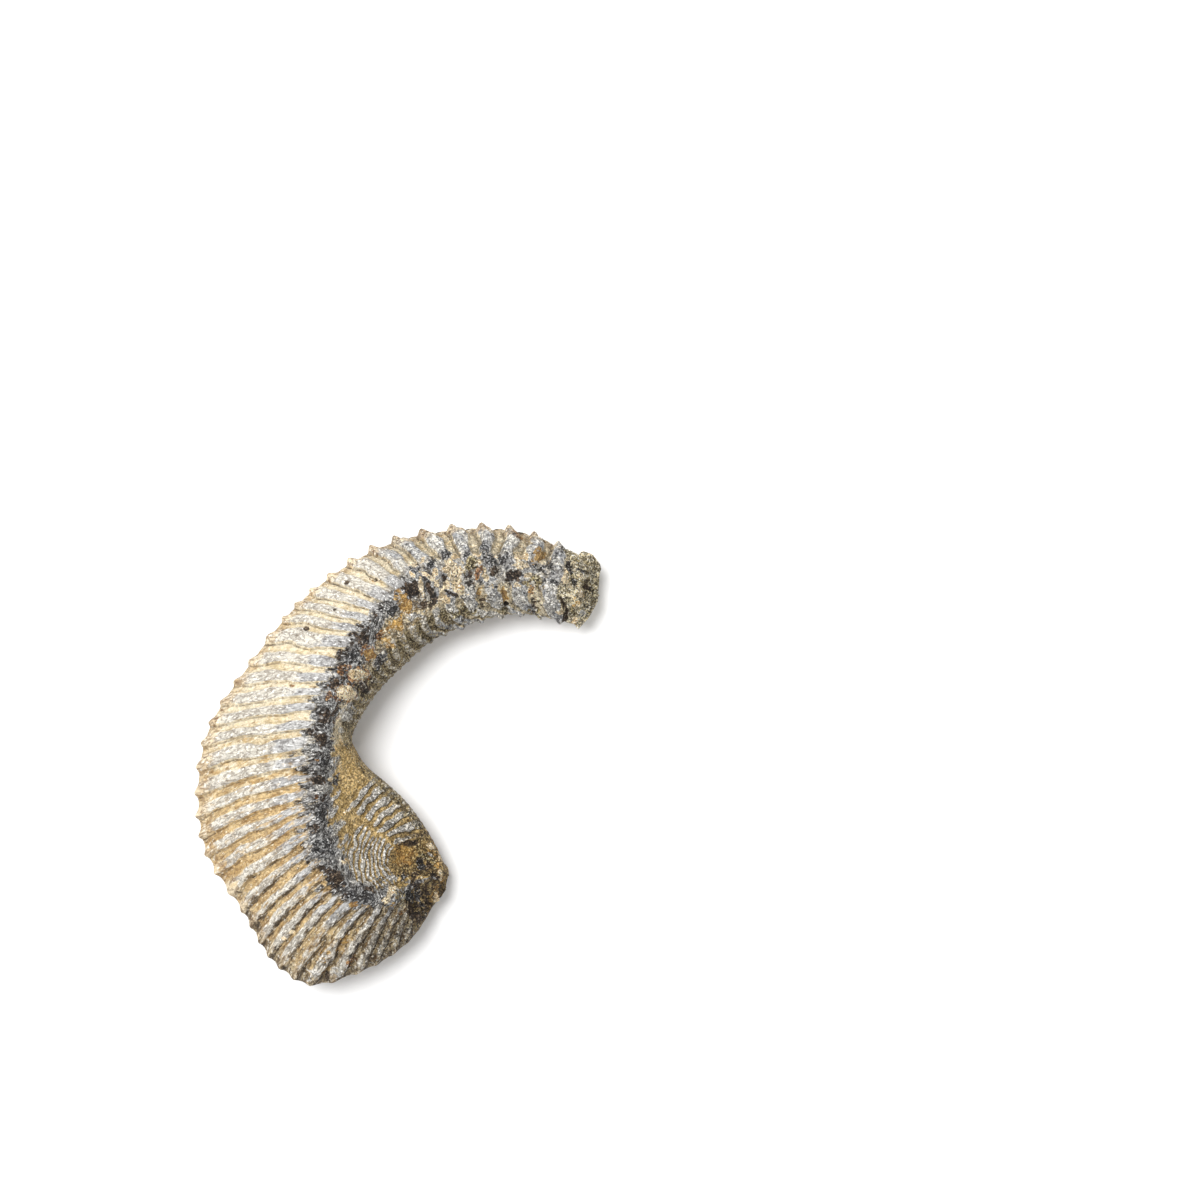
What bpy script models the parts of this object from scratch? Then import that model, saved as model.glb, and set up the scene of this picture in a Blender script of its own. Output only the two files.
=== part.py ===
"""Zipper oyster fossil: two crescent valves that interlock along a zigzag seam.

Each valve is a loft of cross-sections that follow its ribs. A section runs from the outer margin over
the crest (or the keel, below) to the inner margin, and the rib number is the length along the shell.
The upper valve's ribs stand over the lower valve's grooves, which makes the seam between them zigzag.
Lengths are in millimetres and are turned into metres where a mesh is made.
"""

import bmesh
import bpy
import numpy as np

MM = 0.001

# One line for each station along the shell, from the broken tip round to the beak: the rib number,
# then x and y of the outer margin, of the crest and of the inner margin, then the crest's height.
STATIONS = np.array((
    (0, 41.5, 45.0, 40.5, 38.5, 40.5, 29.5, 13.5),
    (3, 25.0, 51.0, 24.5, 42.0, 27.5, 32.0, 18.0),
    (7, -0.5, 48.5, 10.5, 40.0, 10.5, 27.5, 20.0),
    (11, -18.0, 37.5, -1.5, 32.5, 1.0, 20.0, 22.0),
    (15, -31.0, 22.5, -9.0, 22.0, -5.0, 13.5, 24.0),
    (19, -42.0, 4.0, -14.0, 8.5, -9.5, 5.5, 26.0),
    (23, -42.5, -17.5, -14.5, -6.0, -8.5, 1.5, 27.0),
    (27, -33.5, -33.5, -14.0, -17.0, -6.0, -2.0, 27.0),
    (31, -25.0, -46.5, -8.0, -27.0, -1.5, -6.0, 25.0),
    (33, -18.5, -50.0, -5.0, -29.0, 2.0, -9.5, 23.0),
    (35, -8.5, -47.5, -1.0, -29.5, 5.0, -13.5, 21.0),
    (38, 2.5, -41.0, 3.5, -28.5, 8.5, -19.5, 17.0),
    (41, 9.0, -31.5, 7.5, -26.0, 10.5, -24.5, 13.0),
))

ORIGIN = np.array((0.8, 0.8))   # where the stations' x and y put the middle of the finished outline

ROWS_PER_RIB = 4
SEAM_SHARE = 0.44        # the seam's height as a share of the crest's
SEAM_GAP = 0.3           # clearance between the two valves
SEAM_SWING = 0.26        # how far the seam swings up or down, as a share of the rib pitch
SEAM_SWING_MAX = 1.4
SEAM_PUSH = 0.1          # how far the margin stands out on average, as a share of the rib relief
SEAM_TEETH = 0.3         # how far each valve's teeth stand out of it, as a share of the rib relief
RIB_WAVE_POWER = 0.8     # under 1 makes broad round ribs and narrow grooves
RIB_RELIEF = 0.34        # a rib's height over its groove, as a share of the rib pitch
RELIEF_MAX = 1.7
CREST_RELIEF = 0.45      # how much of the ribs' relief is left where they cross the crest
CREST_STEPS = 2          # in how many steps from the crest the ribs reach their full relief
CREST_OVER_SEAM = 1.0    # the least height of the crest over the seam, at the broken ends
KEEL_WIDTH = 5.0         # the flat worn along the lower valve's keel
KEEL_TO_MIDDLE = 0.35    # how far the keel lies from the crest towards the section's middle
PATCH_RIBS = (17.0, 22.0, 38.0, 41.0)   # where the inner flank opens into a shallow dish and closes
OUTER_BOW = 0.045        # sideways bow of the ribs on the outer flank, as a share of their length
CURL_BOW = -0.27         # the same inside the curl, where the ribs bend the other way
CURL_RIBS = (26.0, 34.0, 38.0, 41.5)    # where that bend starts, is full, fades and stops

# Steps across each flank, counted from the margin (0) to the crest or the keel (1).
OUTER_STEPS = (0.0, 0.04, 0.13, 0.32, 0.55, 0.78, 1.0)
KEEL_STEPS = (0.0, 0.04, 0.13, 0.32, 0.6, 1.0)
INNER_STEPS = (0.0, 0.06, 0.2, 0.45, 0.75, 1.0)
FLOOR_STEPS = (0.0, 0.25, 0.75, 1.0)

# End rows: how far past the last section (mm), the section's width and its height as shares.
TIP_ROWS = ((4.3, 0.42, 0.30), (2.3, 0.80, 0.68))
BEAK_ROWS = ((0.7, 0.80, 0.85), (1.2, 0.40, 0.50))
TIP_WAY = (0.93, 0.36)
BEAK_WAY = (0.97, -0.2)

UPPER_COLOUR = (0.47, 0.41, 0.33, 1.0)
LOWER_COLOUR = (0.40, 0.33, 0.24, 1.0)
ROUGHNESS = 0.8


def blend(start, stop, value):
    """A smooth step from 0 at start to 1 at stop."""
    share = np.clip((value - start) / (stop - start), 0.0, 1.0)
    return share * share * (3.0 - 2.0 * share)


def stretch(limits, number):
    """1 between the middle two of four rib numbers, and 0 outside the first and the last."""
    start, full, fade, stop = limits
    return blend(start, full, number) * (1.0 - blend(fade, stop, number))


def spline(knots, values, at):
    """A smooth curve through the values at the knots, read at each place in `at`."""
    slopes = np.gradient(values, knots, axis=0)
    right = np.clip(np.searchsorted(knots, at, side="right"), 1, len(knots) - 1)
    left = right - 1
    width = (knots[right] - knots[left])[:, None]
    t = (at - knots[left])[:, None] / width
    keep = (1 + 2 * t) * (1 - t) ** 2
    come = t * t * (3 - 2 * t)
    out = t * (1 - t) ** 2 * width
    back = t * t * (t - 1) * width
    return keep * values[left] + come * values[right] + out * slopes[left] + back * slopes[right]


def rib_wave(number):
    """1 on a rib's top and 0 in the groove: a rounded rib and a narrow groove."""
    return np.abs(np.cos(np.pi * number)) ** RIB_WAVE_POWER


def convex(reach):
    """Height share of a rounded flank, at a reach of 0 on the crest and 1 on the margin."""
    return (1.0 - reach ** 1.6) ** 0.7


def steep(reach):
    """Height share of the steep inner flank."""
    return (1.0 - reach ** 2.0) ** 0.6


def dish(reach):
    """Height share of the shallow dish inside the curl, with its short drop at the margin."""
    return (0.38 + 0.62 * (1.0 - reach) ** 1.6) * (1.0 - reach ** 10.0) ** 0.5


def rows():
    """Every section's rib number, its shift past the end, and its width and height shares."""
    last = STATIONS[-1, 0]
    listed = [(0.0, np.array(TIP_WAY) * away, wide, high) for away, wide, high in TIP_ROWS]
    for number in np.arange(0.0, last + 0.01, 1.0 / ROWS_PER_RIB):
        listed.append((number, np.zeros(2), 1.0, 1.0))
    listed += [(last, np.array(BEAK_WAY) * away, wide, high) for away, wide, high in BEAK_ROWS]
    return listed


def guides():
    """The guide lines of all rows: margins, crest, heights, seam heights and rib numbers."""
    listed = rows()
    number = np.array([row[0] for row in listed])
    read = spline(STATIONS[:, 0], STATIONS[:, 1:], number)
    outer, crest, inner = (read[:, first:first + 2] - ORIGIN for first in (0, 2, 4))
    height = read[:, 6]
    shift = np.array([row[1] for row in listed])
    wide = np.array([row[2] for row in listed])[:, None]
    high = np.array([row[3] for row in listed])
    middle = (outer + inner) / 2
    outer, crest, inner = ((middle + (line - middle) * wide + shift) for line in (outer, crest, inner))
    seam = SEAM_SHARE * height
    return number, outer, crest, inner, seam, height * high, wide[:, 0]


def pitch_of(line, number):
    """Length of line for each rib, smoothed over the end rows where the rib number stands still."""
    whole = (number > 0) & (number < STATIONS[-1, 0])
    speed = np.linalg.norm(np.gradient(line[whole], number[whole], axis=0), axis=1)
    return np.interp(number, number[whole], speed)


def unit(vectors):
    """The vectors at length 1."""
    return vectors / np.maximum(np.linalg.norm(vectors, axis=-1, keepdims=True), 1e-9)


def flank(margin, ridge, low, top, steps, profile, bow):
    """Points of one flank for every row: from the margin at height low to the ridge at height top."""
    points = np.empty((len(margin), len(steps), 3))
    run = ridge - margin
    side = np.column_stack((-run[:, 1], run[:, 0])) * bow[:, None]
    for column, step in enumerate(steps):
        points[:, column, 0:2] = margin + run * step + side * (4.0 * step * (1.0 - step))
        points[:, column, 2] = low + (top - low) * profile(1.0 - step)
    return points


def relief_of(pitch):
    """A rib's height over its groove at this rib pitch."""
    return np.minimum(RIB_RELIEF * pitch, RELIEF_MAX)


def seam_edges(number, outer, inner, seam):
    """The zigzag margins that the two valves share, outer and inner."""
    wave = 2.0 * rib_wave(number) - 1.0
    teeth = SEAM_PUSH + SEAM_TEETH * np.cos(4 * np.pi * number)
    edges = []
    for line, other in ((outer, inner), (inner, outer)):
        pitch = pitch_of(line, number)
        swing = np.minimum(SEAM_SWING * pitch, SEAM_SWING_MAX)
        push = relief_of(pitch) * teeth
        plan = line + unit(line - other) * push[:, None]
        edges.append(np.column_stack((plan, seam + swing * wave)))
    return edges


def ribbed(points, number, ridge_column, rise):
    """Pushes a valve's points in and out along its face: rise is 1 for the upper valve, -1 below."""
    along = np.gradient(points, axis=0)
    across = np.gradient(points, axis=1)
    face = unit(np.cross(along, across))
    face *= np.sign(np.sum(face[:, ridge_column, 2]) * rise)
    wave = rise * (rib_wave(number) - 0.5)
    for column in range(points.shape[1]):
        away = min(abs(column - ridge_column) / CREST_STEPS, 1.0)
        share = CREST_RELIEF + (1.0 - CREST_RELIEF) * away
        relief = relief_of(pitch_of(points[:, column, 0:2], number)) * share
        points[:, column] += face[:, column] * (relief * wave)[:, None]
    return points


def patch_profile(number):
    """The inner flank's profile for all rows: steep, and a dish inside the curl."""
    share = stretch(PATCH_RIBS, number)
    return lambda reach: steep(reach) * (1.0 - share) + dish(reach) * share


def bows(number):
    """How far the ribs bow sideways on the outer and on the inner flank, as shares of their length."""
    return np.full(len(number), OUTER_BOW), CURL_BOW * stretch(CURL_RIBS, number)


def floor_points(outer_edge, inner_edge, seam, offset):
    """The seam's face between the two margins, without its end columns, from inner to outer."""
    columns = []
    for step in reversed(FLOOR_STEPS[1:-1]):
        point = outer_edge + (inner_edge - outer_edge) * step
        point[:, 2] = seam + offset
        columns.append(point)
    return np.stack(columns, axis=1)


def upper_rings():
    """The closed section rings of the upper valve, one for each row."""
    number, outer, crest, inner, seam, height, _ = guides()
    top = np.maximum(height, seam + CREST_OVER_SEAM)
    outer_bow, inner_bow = bows(number)
    outer_side = flank(outer, crest, seam, top, OUTER_STEPS, convex, outer_bow)
    inner_side = flank(inner, crest, seam, top, INNER_STEPS, patch_profile(number), inner_bow)
    points = np.concatenate((outer_side, inner_side[:, -2::-1]), axis=1)
    points = ribbed(points, number, len(OUTER_STEPS) - 1, 1.0)
    outer_edge, inner_edge = seam_edges(number, outer, inner, seam)
    lift = np.array((0.0, 0.0, SEAM_GAP / 2))
    points[:, 0] = outer_edge + lift
    points[:, -1] = inner_edge + lift
    lowest = np.maximum(outer_edge[:, 2], seam) + SEAM_GAP
    points[:, 1:-1, 2] = np.maximum(points[:, 1:-1, 2], lowest[:, None])
    floor = floor_points(outer_edge, inner_edge, seam, SEAM_GAP / 2)
    return np.concatenate((points, floor), axis=1)


def lower_rings():
    """The closed section rings of the lower valve, one for each row."""
    number, outer, crest, inner, seam, _, wide = guides()
    keel = crest + ((outer + inner) / 2 - crest) * KEEL_TO_MIDDLE
    half = unit(inner - outer) * (KEEL_WIDTH / 2 * wide)[:, None]
    ground = np.zeros(len(number))
    outer_bow, inner_bow = bows(number)
    outer_side = flank(outer, keel - half, seam, ground, KEEL_STEPS, convex, outer_bow)
    inner_side = flank(inner, keel + half, seam, ground, INNER_STEPS, steep, inner_bow)
    points = np.concatenate((outer_side, inner_side[:, ::-1]), axis=1)
    band = outer_side.shape[1]
    flat = points[:, band - 1:band + 1].copy()
    points = ribbed(points, number, band - 1, -1.0)
    points[:, band - 1:band + 1] = flat
    points[:, :, 2] = np.maximum(points[:, :, 2], 0.0)
    outer_edge, inner_edge = seam_edges(number, outer, inner, seam)
    drop = np.array((0.0, 0.0, -SEAM_GAP / 2))
    points[:, 0] = outer_edge + drop
    points[:, -1] = inner_edge + drop
    highest = np.minimum(outer_edge[:, 2], seam) - SEAM_GAP
    points[:, 1:-1, 2] = np.minimum(points[:, 1:-1, 2], highest[:, None])
    floor = floor_points(outer_edge, inner_edge, seam, -SEAM_GAP / 2)
    return np.concatenate((points, floor), axis=1)


def material(name, colour):
    """A plain stone finish."""
    made = bpy.data.materials.new(name)
    made.use_nodes = True
    shader = made.node_tree.nodes["Principled BSDF"]
    shader.inputs["Base Color"].default_value = colour
    shader.inputs["Roughness"].default_value = ROUGHNESS
    shader.inputs["Metallic"].default_value = 0.0
    return made


def loft(name, rings, finish, collection):
    """One closed solid through the rings, with a fan over each end."""
    count, size = rings.shape[:2]
    build = bmesh.new()
    corners = [[build.verts.new(point * MM) for point in ring] for ring in rings]
    for row in range(count - 1):
        here, ahead = corners[row], corners[row + 1]
        for column in range(size):
            after = (column + 1) % size
            build.faces.new((here[column], here[after], ahead[after]))
            build.faces.new((here[column], ahead[after], ahead[column]))
    for ring, corner in ((rings[0], corners[0]), (rings[-1], corners[-1])):
        hub = build.verts.new(ring.mean(axis=0) * MM)
        for column in range(size):
            build.faces.new((corner[column], corner[(column + 1) % size], hub))
    bmesh.ops.recalc_face_normals(build, faces=build.faces)
    mesh = bpy.data.meshes.new(name)
    build.to_mesh(mesh)
    build.free()
    mesh.materials.append(finish)
    made = bpy.data.objects.new(name, mesh)
    collection.objects.link(made)
    return made


def main():
    """Clears the scene and builds the two valves."""
    for old in list(bpy.data.objects):
        bpy.data.objects.remove(old, do_unlink=True)
    collection = bpy.data.collections.new("zipper_oyster_fossil")
    bpy.context.scene.collection.children.link(collection)
    loft("upper_valve", upper_rings(), material("upper_shell", UPPER_COLOUR), collection)
    loft("lower_valve", lower_rings(), material("lower_shell", LOWER_COLOUR), collection)


main()
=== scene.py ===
"""Zipper oyster fossil, dressed for display.

Two crescent valves of a sharp-ribbed oyster, closed on a zigzag seam and turned to stone. Each valve is
one closed shell whose sections follow the ribs: the rib number is the length along the shell, and the
place across a section runs from -1 on the outer margin over 0 on the crest to 1 on the inner margin.
Lengths are in millimetres and are turned into metres where a mesh is made.
"""

import logging
from dataclasses import dataclass, field, replace
from enum import Enum
from typing import Callable, ClassVar

import bpy
import numpy as np
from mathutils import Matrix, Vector


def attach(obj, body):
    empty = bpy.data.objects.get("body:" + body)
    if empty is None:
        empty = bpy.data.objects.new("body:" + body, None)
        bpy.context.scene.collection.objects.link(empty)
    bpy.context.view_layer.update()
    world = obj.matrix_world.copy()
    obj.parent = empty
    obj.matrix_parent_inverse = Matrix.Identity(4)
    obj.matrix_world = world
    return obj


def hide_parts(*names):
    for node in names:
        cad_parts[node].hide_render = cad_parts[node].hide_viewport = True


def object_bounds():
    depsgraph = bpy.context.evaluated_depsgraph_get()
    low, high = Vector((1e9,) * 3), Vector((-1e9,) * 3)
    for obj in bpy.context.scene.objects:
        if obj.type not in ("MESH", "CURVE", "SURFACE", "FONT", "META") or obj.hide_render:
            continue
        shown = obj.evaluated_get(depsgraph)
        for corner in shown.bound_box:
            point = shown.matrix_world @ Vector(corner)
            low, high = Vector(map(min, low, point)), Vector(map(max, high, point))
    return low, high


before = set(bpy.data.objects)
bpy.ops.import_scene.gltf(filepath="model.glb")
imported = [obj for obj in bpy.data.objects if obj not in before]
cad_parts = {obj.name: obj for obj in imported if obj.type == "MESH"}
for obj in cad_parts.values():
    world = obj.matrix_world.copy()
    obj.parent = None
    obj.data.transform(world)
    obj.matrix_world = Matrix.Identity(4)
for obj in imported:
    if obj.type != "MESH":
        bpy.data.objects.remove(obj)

CAD_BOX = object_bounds()
BODY = "root"
MM = 0.001

log = logging.getLogger("zipper_oyster")

Span = tuple[float, float]                      # where a smooth step starts and ends
Limits = tuple[float, float, float, float]      # where a plateau starts, is full, starts to fall and ends
Array = np.ndarray
Row = tuple[float, ...]
Masks = dict[str, Array]
Flank = tuple[Array, Array, Callable[[Array], Array]]
Socket = bpy.types.NodeSocket
Group = bpy.types.NodeTree
Piece = bpy.types.Object

BEFORE = (-2.0, -1.0)   # before every place: what rises here is full from the first
PAST = (98.0, 99.0)     # past every place: what falls here is full to the last

# One line for each station along the shell, from the broken tip round to the beak: the rib number,
# then x and y of the outer margin, of the crest and of the inner margin, then the crest's height.
STATIONS = np.array((
    (0, 41.5, 45.0, 40.5, 38.5, 40.5, 29.5, 13.5),
    (3, 25.0, 51.0, 24.5, 42.0, 27.5, 32.0, 18.0),
    (7, -0.5, 48.5, 10.5, 40.0, 10.5, 27.5, 20.0),
    (11, -18.0, 37.5, -1.5, 32.5, 1.0, 20.0, 22.0),
    (15, -31.0, 22.5, -9.0, 22.0, -5.0, 13.5, 24.0),
    (19, -42.0, 4.0, -14.0, 8.5, -9.5, 5.5, 26.0),
    (23, -42.5, -17.5, -14.5, -6.0, -8.5, 1.5, 27.0),
    (27, -33.5, -33.5, -14.0, -17.0, -6.0, -2.0, 27.0),
    (31, -25.0, -46.5, -8.0, -27.0, -1.5, -6.0, 25.0),
    (33, -18.5, -50.0, -5.0, -29.0, 2.0, -9.5, 23.0),
    (35, -8.5, -47.5, -1.0, -29.5, 5.0, -13.5, 21.0),
    (38, 2.5, -41.0, 3.5, -28.5, 8.5, -19.5, 17.0),
    (41, 9.0, -31.5, 7.5, -26.0, 10.5, -24.5, 13.0),
))
ORIGIN = np.array((0.8, 0.8))   # where the stations' x and y put the middle of the finished outline
TIP_RIBS = (0.55, 1.0)          # where the broken tip's stone ends


def smooth(start: float | Array, stop: float, value: Array) -> Array:
    """A smooth step at these places, from 0 at its start to 1 at its stop."""
    share = np.clip((value - start) / (stop - start), 0.0, 1.0)
    return share * share * (3.0 - 2.0 * share)


def plateau(limits: Limits, value: Array) -> Array:
    """A smooth plateau at these places: 1 between the middle two limits and 0 outside the outer two."""
    return smooth(*limits[:2], value) * (1.0 - smooth(*limits[2:], value))


def bump(centre: float, width: float, value: Array) -> Array:
    """A bell curve of height 1, with this middle and this spread."""
    return np.exp(-((value - centre) / width) ** 2)


def share_of(values: Array) -> Array:
    """The values, kept between 0 and 1."""
    return np.clip(values, 0.0, 1.0)


def unit(vectors: Array) -> Array:
    """The vectors at length 1."""
    return vectors / np.maximum(np.linalg.norm(vectors, axis=-1, keepdims=True), 1e-9)


def spline(knots: Array, values: Array, at: Array) -> Array:
    """A smooth curve through values at knots.

    Args:
        knots: The rising places of the values.
        values: One row for each knot.
        at: The places to read.

    Returns:
        One row for each place.
    """
    slopes = np.gradient(values, knots, axis=0)
    right = np.clip(np.searchsorted(knots, at, side="right"), 1, len(knots) - 1)
    left = right - 1
    width = (knots[right] - knots[left])[:, None]
    t = (at - knots[left])[:, None] / width
    keep = (1 + 2 * t) * (1 - t) ** 2
    come = t * t * (3 - 2 * t)
    out = t * (1 - t) ** 2 * width
    back = t * t * (t - 1) * width
    return keep * values[left] + come * values[right] + out * slopes[left] + back * slopes[right]


def blurred(values: Array, wide: int) -> Array:
    """A grid of values averaged over a square window.

    Args:
        values: Rows x columns of values.
        wide: The window's side, odd.

    Returns:
        The averaged grid.
    """
    kernel = np.ones(wide) / wide
    averaged = np.pad(values, wide // 2, mode="edge")
    for axis in (0, 1):
        averaged = np.apply_along_axis(lambda line: np.convolve(line, kernel, mode="valid"), axis, averaged)
    return averaged


def rib_lattice(number: Array, aside: Array, flank: float) -> Array:
    """Places for noise that runs with the ribs, where a flank's length counts for this many ribs."""
    return np.stack((number, aside * flank, np.zeros_like(number)), axis=-1)


def linear(colour: str, strength: float) -> tuple[float, float, float, float]:
    """A colour as a shader takes it.

    Args:
        colour: The colour in hex, such as "E8CFA0".
        strength: How bright it is made.

    Returns:
        The linear red, green and blue times the strength, then 1.
    """
    parts = [int(colour[first:first + 2], 16) / 255 for first in (0, 2, 4)]
    lit = [part / 12.92 if part <= 0.04045 else ((part + 0.055) / 1.055) ** 2.4 for part in parts]
    return (*(part * strength for part in lit), 1.0)


class Side(Enum):
    """Which way a valve faces."""

    UP = 1.0
    DOWN = -1.0


@dataclass(frozen=True)
class Curve:
    """A value that changes with the rib number, given at some of them."""

    numbers: Row
    values: Row

    def at(self, number: Array) -> Array:
        """The value at each rib number, on straight lines between the given ones."""
        return np.interp(number, self.numbers, self.values)

    def smooth_at(self, number: Array) -> Array:
        """The value at each rib number, on a smooth curve through the given ones."""
        read = spline(np.array(self.numbers), np.array(self.values)[:, None], number.ravel())
        return read[:, 0].reshape(number.shape)


@dataclass(frozen=True)
class Noise:
    """Smooth seeded noise on a lattice, the same on every run."""

    seed: int
    table: Array = field(init=False, repr=False)

    SIZE: ClassVar[int] = 8192
    PRIMES: ClassVar[tuple[int, int, int]] = (73856093, 19349663, 83492791)

    def __post_init__(self) -> None:
        """Fills the table of lattice values."""
        values = np.random.default_rng(self.seed).uniform(-1.0, 1.0, self.SIZE)
        object.__setattr__(self, "table", values)

    def at(self, points: Array, size: float) -> Array:
        """One layer of noise.

        Args:
            points: The places, with x, y and z last.
            size: The size of its lumps, in the points' units.

        Returns:
            Values from -1 to 1.
        """
        scaled = points / size
        base = np.floor(scaled).astype(np.int64)
        part = scaled - base
        part = part * part * (3.0 - 2.0 * part)
        total = np.zeros(points.shape[:-1])
        for corner in np.ndindex(2, 2, 2):
            share = np.ones(points.shape[:-1])
            key = np.zeros(points.shape[:-1], dtype=np.int64)
            for axis, step in enumerate(corner):
                share = share * (part[..., axis] if step else 1.0 - part[..., axis])
                key = key ^ ((base[..., axis] + step) * self.PRIMES[axis])
            total += share * self.table[key % self.SIZE]
        return total


@dataclass(frozen=True)
class Ripple:
    """Layers of noise, each half as large as the one before, read at the ripple's own shifted place."""

    strength: float
    size: float             # the first layer's
    shift: float = 0.0
    count: int = 1
    keep: float = 0.5       # each layer's strength as a share of the one before

    STEP: ClassVar[float] = 31.7    # how far apart the layers are read

    def at(self, noise: Noise, points: Array) -> Array:
        """The ripple at each point."""
        return self.strength * sum(noise.at(points + self.shift + self.STEP * layer, self.size / 2 ** layer)
                                   * self.keep ** layer for layer in range(self.count))


@dataclass(frozen=True)
class Patch:
    """A stretch of the shell: its limits along it, as rib numbers, and from the crest (0) to a margin (1)."""

    ribs: Limits = (*BEFORE, *PAST)
    across: Limits = (*BEFORE, *PAST)
    strength: float = 1.0


@dataclass(frozen=True)
class Rows:
    """The rows along the shell, one for each section."""

    number: Array      # rib number
    shift: Array       # how far past the end the section lies (mm)
    wide: Array        # width share
    high: Array        # height share
    close: Array       # how far the section has closed on its middle

    @property
    def count(self) -> int:
        """How many rows there are."""
        return len(self.number)


@dataclass(frozen=True)
class Guides:
    """The guide lines of all rows (mm)."""

    outer: Array
    crest: Array
    inner: Array
    seam: Array
    height: Array


@dataclass(frozen=True)
class Skin:
    """The points of one smooth valve, and what its relief and its masks are worked out from."""

    points: Array      # places (mm)
    number: Array      # rib numbers
    aside: Array       # places across
    phase: Array       # rib phases, whole on a rib's top
    relief: Array      # the ribs' full relief (mm)
    noise: Noise
    rib: "RibShape"

    @property
    def dome(self) -> Array:
        """1 on the ribs and 0 in the grooves."""
        return self.rib.dome(self.phase)

    @property
    def inner(self) -> Array:
        """Which points lie on the inner flank."""
        return self.aside > 0

    @property
    def reach(self) -> Array:
        """How far each point lies from the crest: 1 on a margin."""
        return np.abs(self.aside)

    def on(self, patch: Patch) -> Array:
        """How strongly a patch covers each point."""
        return patch.strength * plateau(patch.ribs, self.number) * plateau(patch.across, self.reach)

    def rippled(self, *ripples: Ripple) -> Array:
        """The ripples at each point, added up."""
        return sum(ripple.at(self.noise, self.points) for ripple in ripples)


@dataclass(frozen=True)
class End:
    """How the shell narrows past its last section, at the broken tip or at the beak."""

    reach: Row      # places past the last section (mm)
    wide: Row       # the width's share at each place
    high: Row       # the height's share at each place
    way: Span       # the direction in plan
    hollow: float   # how deep the end's face lies (mm)


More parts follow.
